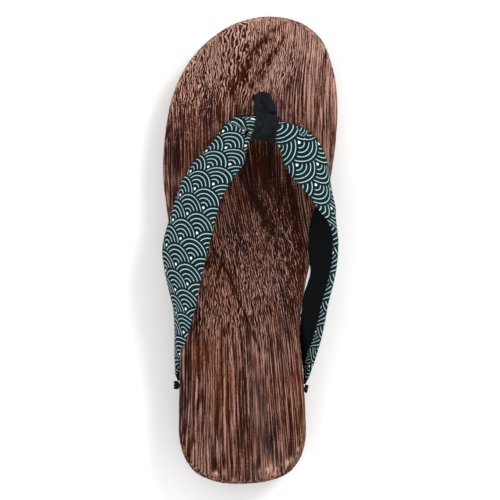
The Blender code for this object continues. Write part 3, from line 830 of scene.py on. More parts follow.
def across(x, y):
    """Place across the foot, -1 on the lateral edge to 1 on the medial edge."""
    lateral, medial = sole_edges(y)
    half = np.maximum((medial - lateral) / 2, TOP_ROUND)
    return np.clip((x - (medial + lateral) / 2) / half, -1, 1)


def wall_inset(share):
    """How far the wall stands in from the outline, at a share of its height."""
    return WALL_DRAFT * (1 - share) ** WALL_POWER


def sole_top(x, y):
    """Height of the footbed: its rim, less a hollow across, plus a rise under the arch of the foot."""
    table = np.array(SOLE_HEIGHTS)
    read = smooth(table[:, 0], table[:, 1:3], np.clip(y, table[0, 0], table[-1, 0]))
    place = across(x, y)
    arch = ARCH_RISE * np.exp(-(((y - ARCH_STATION) / ARCH_REACH) ** 2))
    return read[..., 0] - read[..., 1] * (1 - place**2) ** 2 + arch * np.clip(place, 0, 1) ** 2


def sole_under(x, y):
    """Height of the underside, the same right across: flat on the ground, then the toe spring."""
    table = np.array(SOLE_HEIGHTS)
    height = smooth(table[:, 0], table[:, 3], np.clip(y, table[0, 0], table[-1, 0]))
    return np.maximum(height, 0) + 0 * x


def sole_rings():
    """Rings of the sole: out along the underside, up the wall, round the edge and in over the footbed.

    A ring is the outline moved in by an inset and drawn towards the middle line by a share, at a
    height read from the underside and the footbed.
    """
    left, right = sole_sides()
    outline = clockwise(left, right)
    middle = (left + right) / 2
    order = np.argsort(middle[:, 1])
    spine_y = np.clip(middle[:, 1], *SPINE_ENDS)
    spine_x = np.interp(spine_y, middle[order, 1], middle[order, 0])
    centre = clockwise(*[np.column_stack([spine_x, spine_y])] * 2)
    rings = []

    def ring(inset, share, level):
        """Adds a ring of the outline, moved in, drawn towards the middle line and set at its height."""
        flat = centre + (inward(outline, inset) - centre) * share
        rings.append(np.column_stack([flat, level(flat[:, 0], flat[:, 1])]))

    def wall(x, y):
        """Height a part of the way from the lower rounding to the upper one."""
        return (1 - part) * (sole_under(x, y) + FOOT_ROUND) + part * (sole_top(x, y) - TOP_ROUND)

    for part in np.linspace(0, 1, UNDER_STEPS, endpoint=False):
        ring(FOOT_ROUND + WALL_DRAFT, part, sole_under)
    for turn in np.linspace(0, np.pi / 2, FOOT_STEPS):
        rise = FOOT_ROUND * (1 - np.cos(turn))
        ring(WALL_DRAFT + FOOT_ROUND * (1 - np.sin(turn)), 1, lambda x, y: sole_under(x, y) + rise)
    for part in np.linspace(0, 1, WALL_STEPS + 2)[1:-1]:
        ring(wall_inset(part), 1, wall)
    for turn in np.linspace(0, np.pi / 2, RIM_STEPS):
        drop = TOP_ROUND * (1 - np.sin(turn))
        ring(TOP_ROUND * (1 - np.cos(turn)), 1, lambda x, y: sole_top(x, y) - drop)
    for part in np.linspace(1, 0, TOP_STEPS + 1)[1:]:
        ring(TOP_ROUND, part, sole_top)
    return np.array(rings)


def waist_cutout():
    """The cutter under the waist: a flattened arch in side view, pulled right across."""
    turn = np.linspace(0, np.pi, CUTOUT_STEPS + 1)[1:-1]
    forward = np.sign(np.cos(turn)) * np.abs(np.cos(turn)) ** (2 / CUTOUT_POWER)
    y = (CUTOUT_HEEL + CUTOUT_BALL) / 2 + (CUTOUT_BALL - CUTOUT_HEEL) / 2 * forward
    z = CUTOUT_HEIGHT * np.sin(turn) ** (2 / CUTOUT_POWER)
    below = [[CUTOUT_HEEL, -BEYOND], [CUTOUT_BALL, -BEYOND]]
    reach = max(abs(edge) for row in SOLE_OUTLINE for edge in row[1:]) + BEYOND
    return prism("waist_cutout", np.vstack([np.column_stack([y, z]), below]), 0, -reach, reach)


def creased(first, second, table):
    """Height of listed creases at places on a surface, each a soft bar between two places that is highest
    in its middle."""
    height = np.zeros(np.shape(first))
    for x0, y0, x1, y1, half_width, rise in table:
        run = np.array([x1 - x0, y1 - y0])
        part = ((first - x0) * run[0] + (second - y0) * run[1]) / (run @ run)
        held = np.clip(part, 0, 1)
        away = np.hypot(first - x0 - held * run[0], second - y0 - held * run[1])
        swell = BAR_ENDS + (1 - BAR_ENDS) * np.sin(np.pi * held)
        height += rise * np.exp(-((away / half_width) ** 2)) * swell
    return height


def grain_lean(x, y):
    """How far the grain is drawn sideways at places in plan, by adding up the charted leans from a
    start. The charts of the heel and the toe part meet under the straps."""
    front = np.clip((y - read_off(STRAP_LINE, x)) / LEAN_BLEND + 0.5, 0, 1)
    place = np.interp(x, LEAN_PLACES, range(len(LEAN_PLACES)))
    at = np.arange(HEEL_LEANS[0][0], TOE_LEANS[-1][0] + 1)
    drawn = np.zeros(np.shape(x))
    for chart, start, share in zip((HEEL_LEANS, TOE_LEANS), LEAN_STARTS, (1 - front, front)):
        for number in range(len(LEAN_PLACES)):
            run = np.cumsum(np.tan(np.radians(read_off(chart, at, number + 1))))
            weight = np.clip(1 - np.abs(place - number), 0, 1)
            drawn -= share * weight * (np.interp(y, at, run) - np.interp(start, at, run))
    return drawn


def wood_marks(points):
    """Numbers for the wood at points in millimetres: lean of the grain, depth below the footbed, share of
    short dashes, darker and paler bars with some painted shade and light, warmth, plainness and chipped
    burn."""
    x, y = points[:, 0], points[:, 1]
    depth = sole_top(x, y) - points[:, 2]
    level = np.clip(1 - (depth - DASH_DEPTH) / DASH_FADE, 0, 1)
    return {
        "lean": grain_lean(x, y) * MM,
        "depth": depth * MM,
        "dashes": np.clip(creased(x, y, DASH_ZONES), 0, 1) * level,
        "tone_and_shade": creased(x, y, TONES_AND_SHADE),
        "warmth": np.clip(creased(x, y, WARM_ZONES), -1, 1),
        "plain": np.clip(creased(x, y, PLAIN_ZONES), 0, 1),
        "chipped": np.clip(creased(x, y, CHIPS), 0, 1),
    }


def rim_distance(points):
    """Distance of points from the upper edge of the sole, all in millimetres."""
    inset = TOP_ROUND * RIM_SHARE
    edge = inward(clockwise(*sole_sides()), inset)
    dense = np.linspace(0, len(edge), RIM_FINENESS * len(edge), endpoint=False)
    wrapped = np.vstack([edge, edge[:1]])
    x, y = [np.interp(dense, np.arange(len(wrapped)), way) for way in wrapped.T]
    tree = KDTree(len(dense))
    for number, place in enumerate(np.column_stack([x, y, sole_top(x, y) - inset])):
        tree.insert(place, number)
    tree.balance()
    return np.array([tree.find(place)[2] for place in points])


def grain_place(nodes, place, lean, depth):
    """A place in the grain's own directions: across it, along it and down from the footbed."""
    drift = nodes.noise(place, GRAIN_DRIFT, detail=1)
    x, y, _ = nodes.parts(place)
    return nodes.joined(nodes.maths("ADD", x, lean, nodes.maths("MULTIPLY", drift, DRIFT_REACH)), y, depth)


def fibres(nodes, grain, dashes, wood):
    """Height of the brushed fibres, about 0.5 with ridges above and grooves below.

    Noise in cells as wide as a fibre and as long as one lies: long lines where the surface runs level
    with the grain, and short dashes where it cuts across.
    """
    wide = FIBRE_CELLS / wood.fibre_width
    narrow = DASH_FINENESS * wide
    long = nodes.noise(grain, (wide, 1 / wood.fibre_length, wide), detail=1, roughness=0.4)
    short = nodes.noise(grain, (narrow, 1 / wood.dash_length, narrow), detail=1, roughness=0.4)
    return nodes.between(dashes, long, short)


def strands(nodes, grain, dashes, wood):
    """Fine strands side by side, from -1 to 1: a sine across the grain whose phase wanders slowly along
    the long lines and quickly along the dashes."""
    across_grain, _, down = nodes.parts(grain)
    wander = [nodes.noise(grain, fineness, detail=1) for fineness in (SLOW_WANDER, QUICK_WANDER)]
    wander = nodes.between(dashes, *wander)
    turns = nodes.maths("MULTIPLY", nodes.maths("ADD", across_grain, down), 1 / wood.strand_width)
    turns = nodes.maths("ADD", turns, nodes.maths("MULTIPLY", wander, WANDER_TURNS))
    return nodes.spread(nodes.maths("SINE", nodes.maths("MULTIPLY", turns, 2 * np.pi)), -1, 1, -1, 1)


def brushed_relief(wood):
    """Geometry nodes that move the points along their normals by the height of the fibres."""
    tree = bpy.data.node_groups.new("brushed relief", "GeometryNodeTree")
    for way in ("INPUT", "OUTPUT"):
        tree.interface.new_socket("Geometry", in_out=way, socket_type="NodeSocketGeometry")
    nodes = Nodes(tree)
    whole = nodes.add("NodeGroupInput")
    lean, depth, dashes, brushed = [
        nodes.add("GeometryNodeInputNamedAttribute", {"Name": name}, data_type="FLOAT")
        for name in ("lean", "depth", "dashes", "brushed")
    ]
    grain = grain_place(nodes, nodes.add("GeometryNodeInputPosition"), lean, depth)
    raised = nodes.spread(fibres(nodes, grain, dashes, wood), *RAISED_FIBRES)
    raised = nodes.maths("MULTIPLY", raised, wood.relief, brushed)
    outward = nodes.add("GeometryNodeInputNormal")
    offset = nodes.add("ShaderNodeVectorMath", {0: outward, "Scale": raised}, operation="SCALE")
    placed = nodes.add("GeometryNodeSetPosition", {"Geometry": whole, "Offset": offset})
    nodes.link(tree.nodes.new("NodeGroupOutput"), {0: placed})
    return tree


def paleness(nodes, grain, height, narrow, cloud, marks, wood):
    """How pale the wood is, from 0 in the charred grooves to 1 on the rubbed ridges: fibres, cracks,
    strands and beads, calmed where the wood is plain or cut across, over the clouds of the burn."""
    dashes = marks["dashes"]
    fine = nodes.noise(grain, FINE_LINES, detail=1)
    crack, thread = [nodes.maths("ABSOLUTE", nodes.maths("SUBTRACT", fine, level)) for level in LINE_LEVELS]
    crack = nodes.spread(crack, *CRACK_TONE)
    lines = nodes.maths("ADD", crack, nodes.spread(thread, *THREAD_TONE))
    strand = strands(nodes, grain, dashes, wood)
    value = nodes.maths(
        "ADD",
        nodes.spread(height, *FIBRE_TONE),
        nodes.maths("MULTIPLY", lines, nodes.spread(dashes, *LINES_IN_DASHES)),
        nodes.spread(narrow, *NARROW_TONE),
        nodes.spread(nodes.noise(grain, BEADS, detail=0), *BEAD_TONE),
        nodes.maths("MULTIPLY", strand, nodes.spread(dashes, *STRANDS_IN_DASHES)),
    )
    value = nodes.maths(
        "MULTIPLY",
        value,
        nodes.spread(dashes, *CONTRAST_IN_DASHES),
        nodes.spread(marks["plain"], *CONTRAST_IN_PLAIN),
        nodes.spread(marks["end_grain"], *CONTRAST_ON_ENDS),
    )
    char = nodes.spread(nodes.noise(grain, CHAR_PATCHES, roughness=0.55), *CHAR_TONE)
    cloud = nodes.spread(cloud, *CLOUD_TONE)
    # The listed darker and paler bars are added last, with painted shade of the straps and painted light on
    # the medial forefoot among them
    return nodes.maths("ADD", value, char, cloud, marks["tone_and_shade"], clamp=True)


def worn_share(nodes, place, marks):
    """How far the burn is rubbed or chipped off: along the rim, more so at the toe, and in the chips."""
    rubbed = nodes.spread(nodes.noise(place, RUBBED_PATCHES, detail=3, roughness=0.65), *RUBBED_OFF)
    toe = nodes.spread(nodes.parts(place)[1], *WEAR_TO_TOE)
    edge = nodes.maths("MULTIPLY", nodes.spread(marks["rim"], *WEAR_FROM_RIM), toe)
    worn = nodes.maths("ADD", edge, marks["chipped"], clamp=True)
    return nodes.maths("MULTIPLY", worn, rubbed, MOST_WORN)


def burnt_wood(wood):
    """Charred grooves, reddish wood and rubbed ridges, under listed darker and paler bars, a few of them
    painted shade and light.
    """
    material, nodes, shader = new_material("burnt brushed wood")
    place = nodes.place()
    marks = {name: nodes.attribute(name) for name in WOOD_MARKS}
    grain = grain_place(nodes, place, marks["lean"], marks["depth"])
    height = fibres(nodes, grain, marks["dashes"], wood)
    whole, broken = [
        nodes.noise(grain, fineness, detail=1, roughness=0.6) for fineness in (NARROW_LINES, BROKEN_LINES)
    ]
    narrow = nodes.between(marks["dashes"], whole, broken)
    cloud = nodes.noise(grain, CLOUDS)
    value = paleness(nodes, grain, height, narrow, cloud, marks, wood)

    hue = nodes.maths("ADD", marks["warmth"], nodes.spread(cloud, *CLOUD_WARMTH), clamp=True)
    middle = nodes.mixed(hue, wood.middle_colour, wood.warm_colour)
    groove = nodes.mixed(hue, wood.groove_colour, wood.warm_groove_colour)
    toe = nodes.spread(nodes.parts(place)[1], *RIDGES_TO_TOE)
    ridge = nodes.mixed(toe, wood.ridge_colour, wood.rubbed_colour)
    colour = nodes.mixed(nodes.spread(value, *GROOVE_TO_WOOD), groove, middle)
    colour = nodes.mixed(nodes.spread(value, *WOOD_TO_RIDGE), colour, ridge)
    nodes.link(shader, {
        "Base Color": nodes.mixed(worn_share(nodes, place, marks), colour, wood.worn_colour),
        "Roughness": nodes.spread(value, *WOOD_ROUGHNESS),
        "Normal": nodes.bumped(narrow, *NARROW_BUMP, nodes.bumped(height, *FIBRE_BUMP)),
        "Specular IOR Level": 0.03,
    })
    return material


def make_sole(wood):
    """The carved block with its waist cut-out, toe hole, knot recess and two tail sockets."""
    rings = sole_rings()
    below = UNDER_STEPS + FOOT_STEPS
    brushed = np.ones(rings.shape[:2])
    brushed[:below] = 0
    brushed[below : below + WALL_STEPS] = WALL_BRUSHED
    marks = {"brushed": brushed, **wood_marks(rings.reshape(-1, 3))}
    sole = body("sole_brushed", rings, capped=False, marks=marks)
    highest = max(row[1] for row in SOLE_HEIGHTS)
    hole = oval(HOLE_RADII, STEM_HOLE, STEM_AROUND)
    recess = oval((RECESS_RADIUS, RECESS_RADIUS), STEM_HOLE, STEM_AROUND)
    combine(sole, waist_cutout(), "DIFFERENCE")
    combine(sole, prism("toe_hole", hole, 2, RECESS_DEPTH / 2, highest + BEYOND), "DIFFERENCE")
    combine(sole, prism("knot_recess", recess, 2, -BEYOND, RECESS_DEPTH), "DIFFERENCE")
    for name, side, station, height, wall, _, _ in TAIL_KNOTS:
        centre = (station - TURN_PITCH * TURNS / 2, height)
        mouth = oval((PEG_RADIUS + CLEARANCE,) * 2, centre, SOCKET_AROUND)
        ends = sorted((wall + side * BEYOND, wall - side * SOCKET_DEPTH))
        combine(sole, prism("socket_" + name, mouth, 0, *ends), "DIFFERENCE")
    sole.modifiers.new("brushed relief", "NODES").node_group = brushed_relief(wood)
    settle(sole, burnt_wood(wood), SHARP_WOOD)
    points = points_of(sole.data)
    end_grain = np.abs(normals_of(sole.data)[:, 1])
    keep_marks(sole.data, {**wood_marks(points), "rim": rim_distance(points), "end_grain": end_grain})
    return sole


def strap_middle():
    """Middle line of the straps, the places of its points along it, and the place of the toe loop."""
    rows = np.array(STRAP_SECTIONS)
    middle = (rows[:, :3] + rows[:, 3:6]) / 2
    along = chord_lengths(middle)
    return middle, along, along[JUNCTION_ROW]


def strap_rings(at, around, grow=0):
    """Rings of the straps at places along them, moved out by grow.

    Each ring is a flattened oval from edge A to edge B, thicker on its padded outer side and bowed
    out between its edges. Its first point is on edge B and it turns over the padded side.
    """
    middle, along, _ = strap_middle()
    read = smooth(along, STRAP_SECTIONS, at)
    after = smooth(along, middle, np.minimum(at + 1, along[-1]))
    ahead = after - smooth(along, middle, np.maximum(at - 1, 0))
    chord = read[:, 3:6] - read[:, :3]
    half_width = np.linalg.norm(chord, axis=1, keepdims=True) / 2
    edge_way = unit(chord)
    face_way = unit(np.cross(edge_way, ahead))
    turn = full_turn(around)
    wide, deep = [np.sign(way) * np.abs(way) ** SECTION_POWER for way in (np.cos(turn), np.sin(turn))]
    share = np.where(deep > 0, PADDED_SHARE, 1 - PADDED_SHARE)
    reach = (half_width + grow) * wide
    depth = (read[:, 6:7] * share + grow) * deep + read[:, 7:8] * (1 - wide**2)
    centre = (read[:, :3] + read[:, 3:6]) / 2
    return centre[:, None] + reach[..., None] * edge_way[:, None] + depth[..., None] * face_way[:, None]


def ring_arc(rings):
    """Distance round each ring from the middle of its padded side, positive towards edge B."""
    around = rings.shape[1]
    steps = np.linalg.norm(np.roll(rings, -1, axis=1) - rings, axis=2)
    along = np.concatenate([np.zeros((len(rings), 1)), np.cumsum(steps, axis=1)], axis=1)
    girth = along[:, -1:]
    arc = along[:, around // 4, None] - along[:, :-1]
    return np.where(arc < -girth / 2, arc + girth, arc), girth


def weave(nodes, place, pitch):
    """Height of a plain weave: two sets of round threads that pass over and under each other."""
    s, t, _ = nodes.parts(place)
    waves = [nodes.maths("SINE", nodes.maths("MULTIPLY", way, np.pi / pitch)) for way in (s, t)]
    over = nodes.spread(nodes.maths("MULTIPLY", *waves), -0.5, 0.5)
    return nodes.between(over, *[nodes.maths("ABSOLUTE", wave) for wave in waves])


def wave_distance(nodes, s, t, radius, rise):
    """Distance from the middle of the wave that lies in front, as a share of its radius.

    Waves are circles in rows along s, each row half a wave across from the last. The wave in front is
    that of the first row, counted along s, whose circle and plain margin hold the place.
    """
    row = nodes.maths("CEIL", nodes.maths("DIVIDE", nodes.maths("SUBTRACT", s, radius * WAVE_MARGIN), rise))
    found = []
    for ahead in range(WAVE_ROWS):
        this = nodes.maths("ADD", row, ahead)
        half_over = nodes.maths("MULTIPLY", nodes.maths("FLOORED_MODULO", this, 2), radius)
        shifted = nodes.maths("ADD", t, nodes.maths("ADD", half_over, WAVE_START))
        side = nodes.maths("SUBTRACT", nodes.maths("FLOORED_MODULO", shifted, 2 * radius), radius)
        rest = nodes.maths("SUBTRACT", s, nodes.maths("MULTIPLY", this, rise))
        far = nodes.add("ShaderNodeVectorMath", {0: nodes.joined(side, rest, 0)}, 1, operation="LENGTH")
        found.append(nodes.maths("DIVIDE", far, radius))
    nearest = found[-1]
    for far in found[-2::-1]:
        nearest = nodes.between(nodes.maths("LESS_THAN", far, WAVE_MARGIN), nearest, far)
    return nearest


def cloth_lengths(rings, arc, start):
    """Distance along the cloth from one ring, measured on each line that keeps its place across."""
    lines = np.arange(-CLOTH_REACH, CLOTH_REACH + 1)
    held = np.empty((len(rings), len(lines), 3))
    for place, (ring, across_ring) in enumerate(zip(rings, arc)):
        order = np.argsort(across_ring)
        for axis in range(3):
            held[place, :, axis] = np.interp(lines, across_ring[order], ring[order, axis])
    length = np.array([chord_lengths(held[:, line]) for line in range(len(lines))]).T
    length -= length[start]
    return np.array([np.interp(across_ring, lines, row) for across_ring, row in zip(arc, length)])


def ring_normals(rings):
    """Outward normals of a grid of closed rings, from the two ways across it."""
    along = np.gradient(rings, axis=0)
    around = np.roll(rings, -1, axis=1) - np.roll(rings, 1, axis=1)
    normals = unit(np.cross(along, around) + HARDLY_ANY)
    outward = np.sum(normals * (rings - rings.mean(axis=1, keepdims=True)))
    return normals if outward > 0 else -normals


def pressed(points):
    """Shift across that lays the low edge of each strap against the wall of the sole.

    The gap to the wall closes by a set amount near it and by less further out.
    """
    x, y, z = points[..., 0], points[..., 1], points[..., 2]
    lateral, medial = sole_edges(y)
    share = np.clip((z - FOOT_ROUND) / (SOLE_HEIGHTS[TAIL_ROW][1] - TOP_ROUND - FOOT_ROUND), 0, 1)
    side = np.where(x > 0, 1, -1)
    gap = np.clip(side * x - np.where(x > 0, medial, -lateral) + wall_inset(share), 0, None)
    amount = np.where(x > 0, read_off(PRESSES, y), read_off(PRESSES, y, 2))
    near = 1 - np.clip((gap - PRESS_GAP) / PRESS_FADE, 0, 1) ** 2
    below = np.clip((sole_top(x, y) - z) / PRESS_RISE + 1, 0, 1)
    return -side * np.minimum(amount, np.maximum(gap - PRESS_CLEAR, 0)) * near * below


def rolled(points):
    """Shift that rolls edge B of the lateral strap in over the footbed.

    The shift grows from just past the middle of the ring to edge B, and with the height above the
    footbed.
    """
    x, y, z = points[..., 0], points[..., 1], points[..., 2]
    share = np.clip((np.cos(full_turn(points.shape[1])) + ROLL_FROM) / (1 + ROLL_FROM), 0, 1)
    above = np.clip((z - sole_top(x, y) - ROLL_CLEAR) / ROLL_REACH, 0, 1)
    return read_off(ROLL, y) * share * above


def wave_print(nodes, place, shade, cloth):
    """Printed wave cloth: rings of each wave in worn ink, and a pearl at its middle."""
    s, t, _ = nodes.parts(place)
    distance = wave_distance(nodes, s, t, cloth.wave_radius, cloth.wave_rise)
    ring = nodes.maths("DIVIDE", nodes.maths("SUBTRACT", distance, RING_START), RING_STEP)
    line = nodes.maths(
        "MULTIPLY",
        nodes.spread(nodes.maths("PINGPONG", ring, 0.5), *LINE_EDGE),
        nodes.maths("GREATER_THAN", distance, RING_LIMITS[0]),
        nodes.maths("LESS_THAN", distance, RING_LIMITS[1]),
        nodes.spread(nodes.noise(place, INK_FLECKS), *INK_WEAR),
    )
    paler = shaded(cloth.ground_colour, GROUND_PALER)
    ground = nodes.mixed(nodes.spread(shade, *SOFT_SHADES), cloth.ground_colour, paler)
    printed = nodes.mixed(line, ground, cloth.wave_colour)
    return nodes.mixed(nodes.spread(distance, *PEARL_EDGE), printed, cloth.pearl_colour)


def strap_cloth(cloth):
    """Printed wave cloth on the padded face, and black cloth on the lining, the tail ends and a deep fold,
    where it is also painted shade.
    """
    material, nodes, shader = new_material("wave cloth, lining and fold shade")
    place = nodes.joined(nodes.attribute("wave_along"), nodes.attribute("wave_across"), 0)
    shade = nodes.noise(place, CLOTH_CLOUDS, detail=3)
    printed = wave_print(nodes, place, shade, cloth)
    # Black where the lining and tail wraps show, and in the deep fold beside the toe loop, where it is also
    # painted shade
    lining_and_fold_shade = nodes.maths("GREATER_THAN", nodes.attribute("lining"), 0)
    slub = nodes.bumped(shade, *SLUB_BUMP)
    nodes.link(shader, {
        "Base Color": nodes.mixed(lining_and_fold_shade, printed, cloth.lining_colour),
        "Normal": nodes.bumped(weave(nodes, place, STRAP_WEAVE), *STRAP_BUMP, slub),
        "Roughness": 0.88,
        "Specular IOR Level": 0.05,
    })
    return material


def strap_lining(s, arc, girth):
    """How far each point lies past the edges of the wave cloth, on to the black lining (plus)."""
    past_b = arc - arc[:, :1] - read_off(LINING_LAPS, s)
    past_a = arc[:, STRAP_AROUND // 2, None] - LAP_AT_EDGE_A - arc
    return np.maximum(past_b, np.minimum(past_a, past_b + girth))


def wave_places(rings, arc, s):
    """Where the pattern lies on the cloth, along and across each strap, drawn under at the tucks."""
    wave_along = np.zeros_like(arc)
    wave_across = np.zeros_like(arc)
    for side, start, length, shift, stretch, drawn_out in WAVE_CUTS:
        row = int(np.abs(s[:, 0] - start).argmin())
        here = side * s > 0
        wave_along = np.where(here, drawn_out * cloth_lengths(rings, arc, row) + length, wave_along)
        wave_across = np.where(here, stretch * arc + shift, wave_across)
    for s0, t0, s1, t1, shift_along, shift_across in STRAP_TUCKS:
        run = unit(np.array([s1 - s0, t1 - t0]))
        part = ((s - s0) * run[0] + (arc - t0) * run[1]) / np.hypot(s1 - s0, t1 - t0)
        side = run[0] * (arc - t0) - run[1] * (s - s0)
        fade = (side / TUCK_REACH) ** 2 + (TUCK_FADE * (part - TUCK_MIDDLE)) ** 4
        drawn = (side < 0) * np.exp(-fade)
        wave_along += shift_along * drawn
        wave_across += shift_across * drawn
    return wave_along, wave_across


def make_straps(cloth):
    """Both padded straps as one body, drawn in at the toe loop, with creases, seams and their cloth."""
    _, along, loop_at = strap_middle()
    at = np.linspace(0, along[-1], int(round(along[-1] / STRAP_PITCH)) + 1)
    rings = strap_rings(at, STRAP_AROUND)
    arc, girth = ring_arc(rings)
    s = (at - loop_at)[:, None] + np.zeros_like(arc)
    from_end = np.minimum(at, along[-1] - at)[:, None]
    lining = strap_lining(s, arc, girth)
    height = creased(s, arc, STRAP_CREASES) - SEAM_DEPTH * np.exp(-((lining / SEAM_WIDTH) ** 2))
    height *= np.clip((np.abs(s) - LOOP_HALF_WIDTH) / LOOP_FADE, 0, 1) * np.clip(from_end / END_FADE, 0, 1)
    rings = rings + ring_normals(rings) * height[..., None]
    from_a = np.abs(arc - arc[:, STRAP_AROUND // 2, None])
    from_a = np.minimum(from_a, girth - from_a)
    held = read_off(SLIT, rings[..., 1]) * np.exp(-((from_a / SLIT_REACH) ** 2))
    rings[..., 0] += pressed(rings) + np.where(s > 0, held, rolled(rings))
    outward = np.sign(s) * rings[..., 0]
    narrowed = TAIL_TAPER * np.clip(1 - from_end / TAIL_WRAP, 0, 1)
    rings[..., 0] = np.sign(s) * (outward - (outward - outward.min(axis=1, keepdims=True)) * narrowed)
    wave_along, wave_across = wave_places(rings, arc, s)
    # The tail wraps are black, and so is a deep fold beside the toe loop, as lining that shows and painted
    # shade; both go into the lining mark
    folded = np.maximum(TAIL_WRAP - from_end, creased(s, arc, FOLD_LINING_AND_SHADE) - FOLD_SHOWS)
    marks = {"lining": np.maximum(lining, folded), "wave_along": wave_along, "wave_across": wave_across}
    straps = body("straps_cloth", rings, marks={name: values * MM for name, values in marks.items()})
    return settle(straps, strap_cloth(cloth), SHARP_SEAM)


def stem():
    """The loop's stem: ovals square to a line that rises through the sole and leans back."""
    along = chord_lengths(np.array(STEM_SECTIONS)[:, :3])
    read = smooth(along, STEM_SECTIONS, np.linspace(0, along[-1], STEM_RINGS))
    ahead = unit(np.gradient(read[:, :3], axis=0))
    side = unit(np.array([1, 0, 0]) - ahead * ahead[:, :1])
    fore = np.cross(ahead, side)
    turn = full_turn(STEM_AROUND)[None, :, None]
    wide = read[:, None, 3:4] * np.cos(turn) * side[:, None]
    deep = read[:, None, 4:5] * np.sin(turn) * fore[:, None]
    return body("stem", read[:, None, :3] + wide + deep)


def knot_under():
    """The flattened knot that holds the stem from below, a squat ball cut flat at its poles."""
    rise = np.linspace(-KNOT_POLE, KNOT_POLE, KNOT_RINGS)[:, None] * np.pi
    turn = full_turn(STEM_AROUND)[None, :]
    x = STEM_HOLE[0] + KNOT_RADII[0] * np.cos(rise) * np.cos(turn)
    y = STEM_HOLE[1] + KNOT_RADII[1] * np.cos(rise) * np.sin(turn)
    z = KNOT_CENTRE_Z + KNOT_RADII[2] * np.sin(rise) + 0 * turn
    return body("knot_under", np.stack([x, y, z], axis=-1))


def remeshed(obj, voxel, rounds):
    """Adds a voxel remesh and a few rounds of smoothing to an object."""
    remesh = obj.modifiers.new("remesh", "REMESH")
    remesh.mode = "VOXEL"
    remesh.voxel_size = voxel * MM
    smoothing = obj.modifiers.new("smoothing", "SMOOTH")
    smoothing.factor = 0.5
    smoothing.iterations = rounds


def black_finish(cloth, name, flecks, detail, paler, bump, pitch=None, **settings):
    """Black cloth or cord: faint paler flecks that stand proud, and a weave where it has one."""
    material, nodes, shader = new_material(name)
    place = nodes.place()
    shade = nodes.noise(place, (flecks,) * 3, detail)
    black = cloth.lining_colour
    normal = nodes.bumped(shade, *bump)
    if pitch:
        normal = nodes.bumped(weave(nodes, place, pitch), *LOOP_BUMP, normal)
    colour = nodes.mixed(nodes.spread(shade, *BLACK_SHADES), black, shaded(black, paler))
    nodes.link(shader, {"Base Color": colour, "Normal": normal, **settings})
    return material


def make_toe_loop(cloth):
    """The cloth band round the straps, its stem through the sole and the knot under it, with folds."""
    loop_at = strap_middle()[2]
    band = loop_at + np.linspace(-LOOP_HALF_WIDTH, LOOP_HALF_WIDTH, LOOP_RINGS)
    loop = body("toe_loop_cloth", strap_rings(band, STRAP_AROUND, CLEARANCE + LOOP_WALL))
    combine(loop, stem(), "UNION")
    combine(loop, knot_under(), "UNION")
    inside = loop_at + np.arange(-LOOP_HALF_WIDTH - BEYOND, LOOP_HALF_WIDTH + BEYOND, STRAP_PITCH)
    combine(loop, body("strap_space", strap_rings(inside, STRAP_AROUND, CLEARANCE)), "DIFFERENCE")
    remeshed(loop, LOOP_VOXEL, LOOP_SMOOTHING)
    finish = {"Roughness": 0.9, "Specular IOR Level": 0.08, "Sheen Weight": 0.02}
    flecked = {"flecks": 300, "detail": 3, "paler": 2.2, "bump": (0.0016, 0.7)}
    black = black_finish(cloth, "black loop cloth", **flecked, pitch=LOOP_WEAVE, **finish)
    settle(loop, black, SHARP_FOLD)
    points, normals = points_of(loop.data), normals_of(loop.data)
    upper = np.clip((points[:, 2] - LOOP_TOP) / LOOP_TOP_FADE, 0, 1)
    upper *= np.clip(normals[:, 2] / LOOP_TOP_TURN, 0, 1)
    height = creased(points[:, 0], points[:, 1], LOOP_FOLDS) * upper
    set_points(loop.data, points + normals * height[:, None])
    return loop


def make_tail_knot(name, side, station, height, wall, radius, drawn_in, material):
    """Turns of twisted cord against the wall of the sole, with a peg into the socket behind them.

    The cord follows a helix about a line along the wall, with a level part of a turn at each end. Its
    section is a circle with a lobe for each strand, which turns as it goes along.
    """
    centre_x = wall + side * (CLEARANCE + radius)
    cord = TURN_PITCH / 2
    part = np.linspace(0, 1, CORD_STEPS)
    wind = 2 * np.pi * TURNS * part
    reach = (radius - cord) * (1 - drawn_in * part)
    step = np.clip((part - END_TURN) / (1 - 2 * END_TURN), 0, 1)
    path = np.column_stack([
        centre_x + reach * np.cos(wind) - side * (radius - cord) * drawn_in * part,
        station - FIRST_TURN * cord - (TURN_PITCH * TURNS - 2 * cord) * step,
        height + reach * np.sin(wind),
    ])
    ahead = unit(np.gradient(path, axis=0))
    outward = unit(np.column_stack([np.cos(wind), np.zeros_like(wind), np.sin(wind)]))
    outward = unit(outward - ahead * np.sum(outward * ahead, axis=1, keepdims=True))
    beside = np.cross(ahead, outward)
    turn = full_turn(CORD_AROUND)[None, :]
    twist = 2 * np.pi * (chord_lengths(path) / CORD_LAY)[:, None]
    lobes = np.abs(np.cos(CORD_STRANDS * (turn - twist / CORD_STRANDS) / 2))
    blunt = np.sqrt(np.clip(1 - (np.abs(part - 0.5) / 0.5) ** END_POWER, END_SHARE, 1))[:, None]
    thick = (cord * (1 - LAY_DEPTH + LAY_DEPTH * lobes) * blunt)[..., None]
    around = np.cos(turn)[..., None] * outward[:, None] + np.sin(turn)[..., None] * beside[:, None]
    knot = body("tail_cord_" + name, path[:, None] + thick * around)
    shaft = oval((PEG_RADIUS, PEG_RADIUS), (station - TURN_PITCH * TURNS / 2, height), SOCKET_AROUND)
    peg = prism("peg_" + name, shaft, 0, *sorted((centre_x, wall - side * PEG_DEPTH)))
    shell = bmesh.new()
    shell.from_mesh(knot.data)
    shell.from_mesh(peg.data)
    shell.to_mesh(knot.data)
    shell.free()
    bpy.data.objects.remove(peg)
    remeshed(knot, CORD_VOXEL, CORD_SMOOTHING)
    return settle(knot, material, SHARP_FOLD)


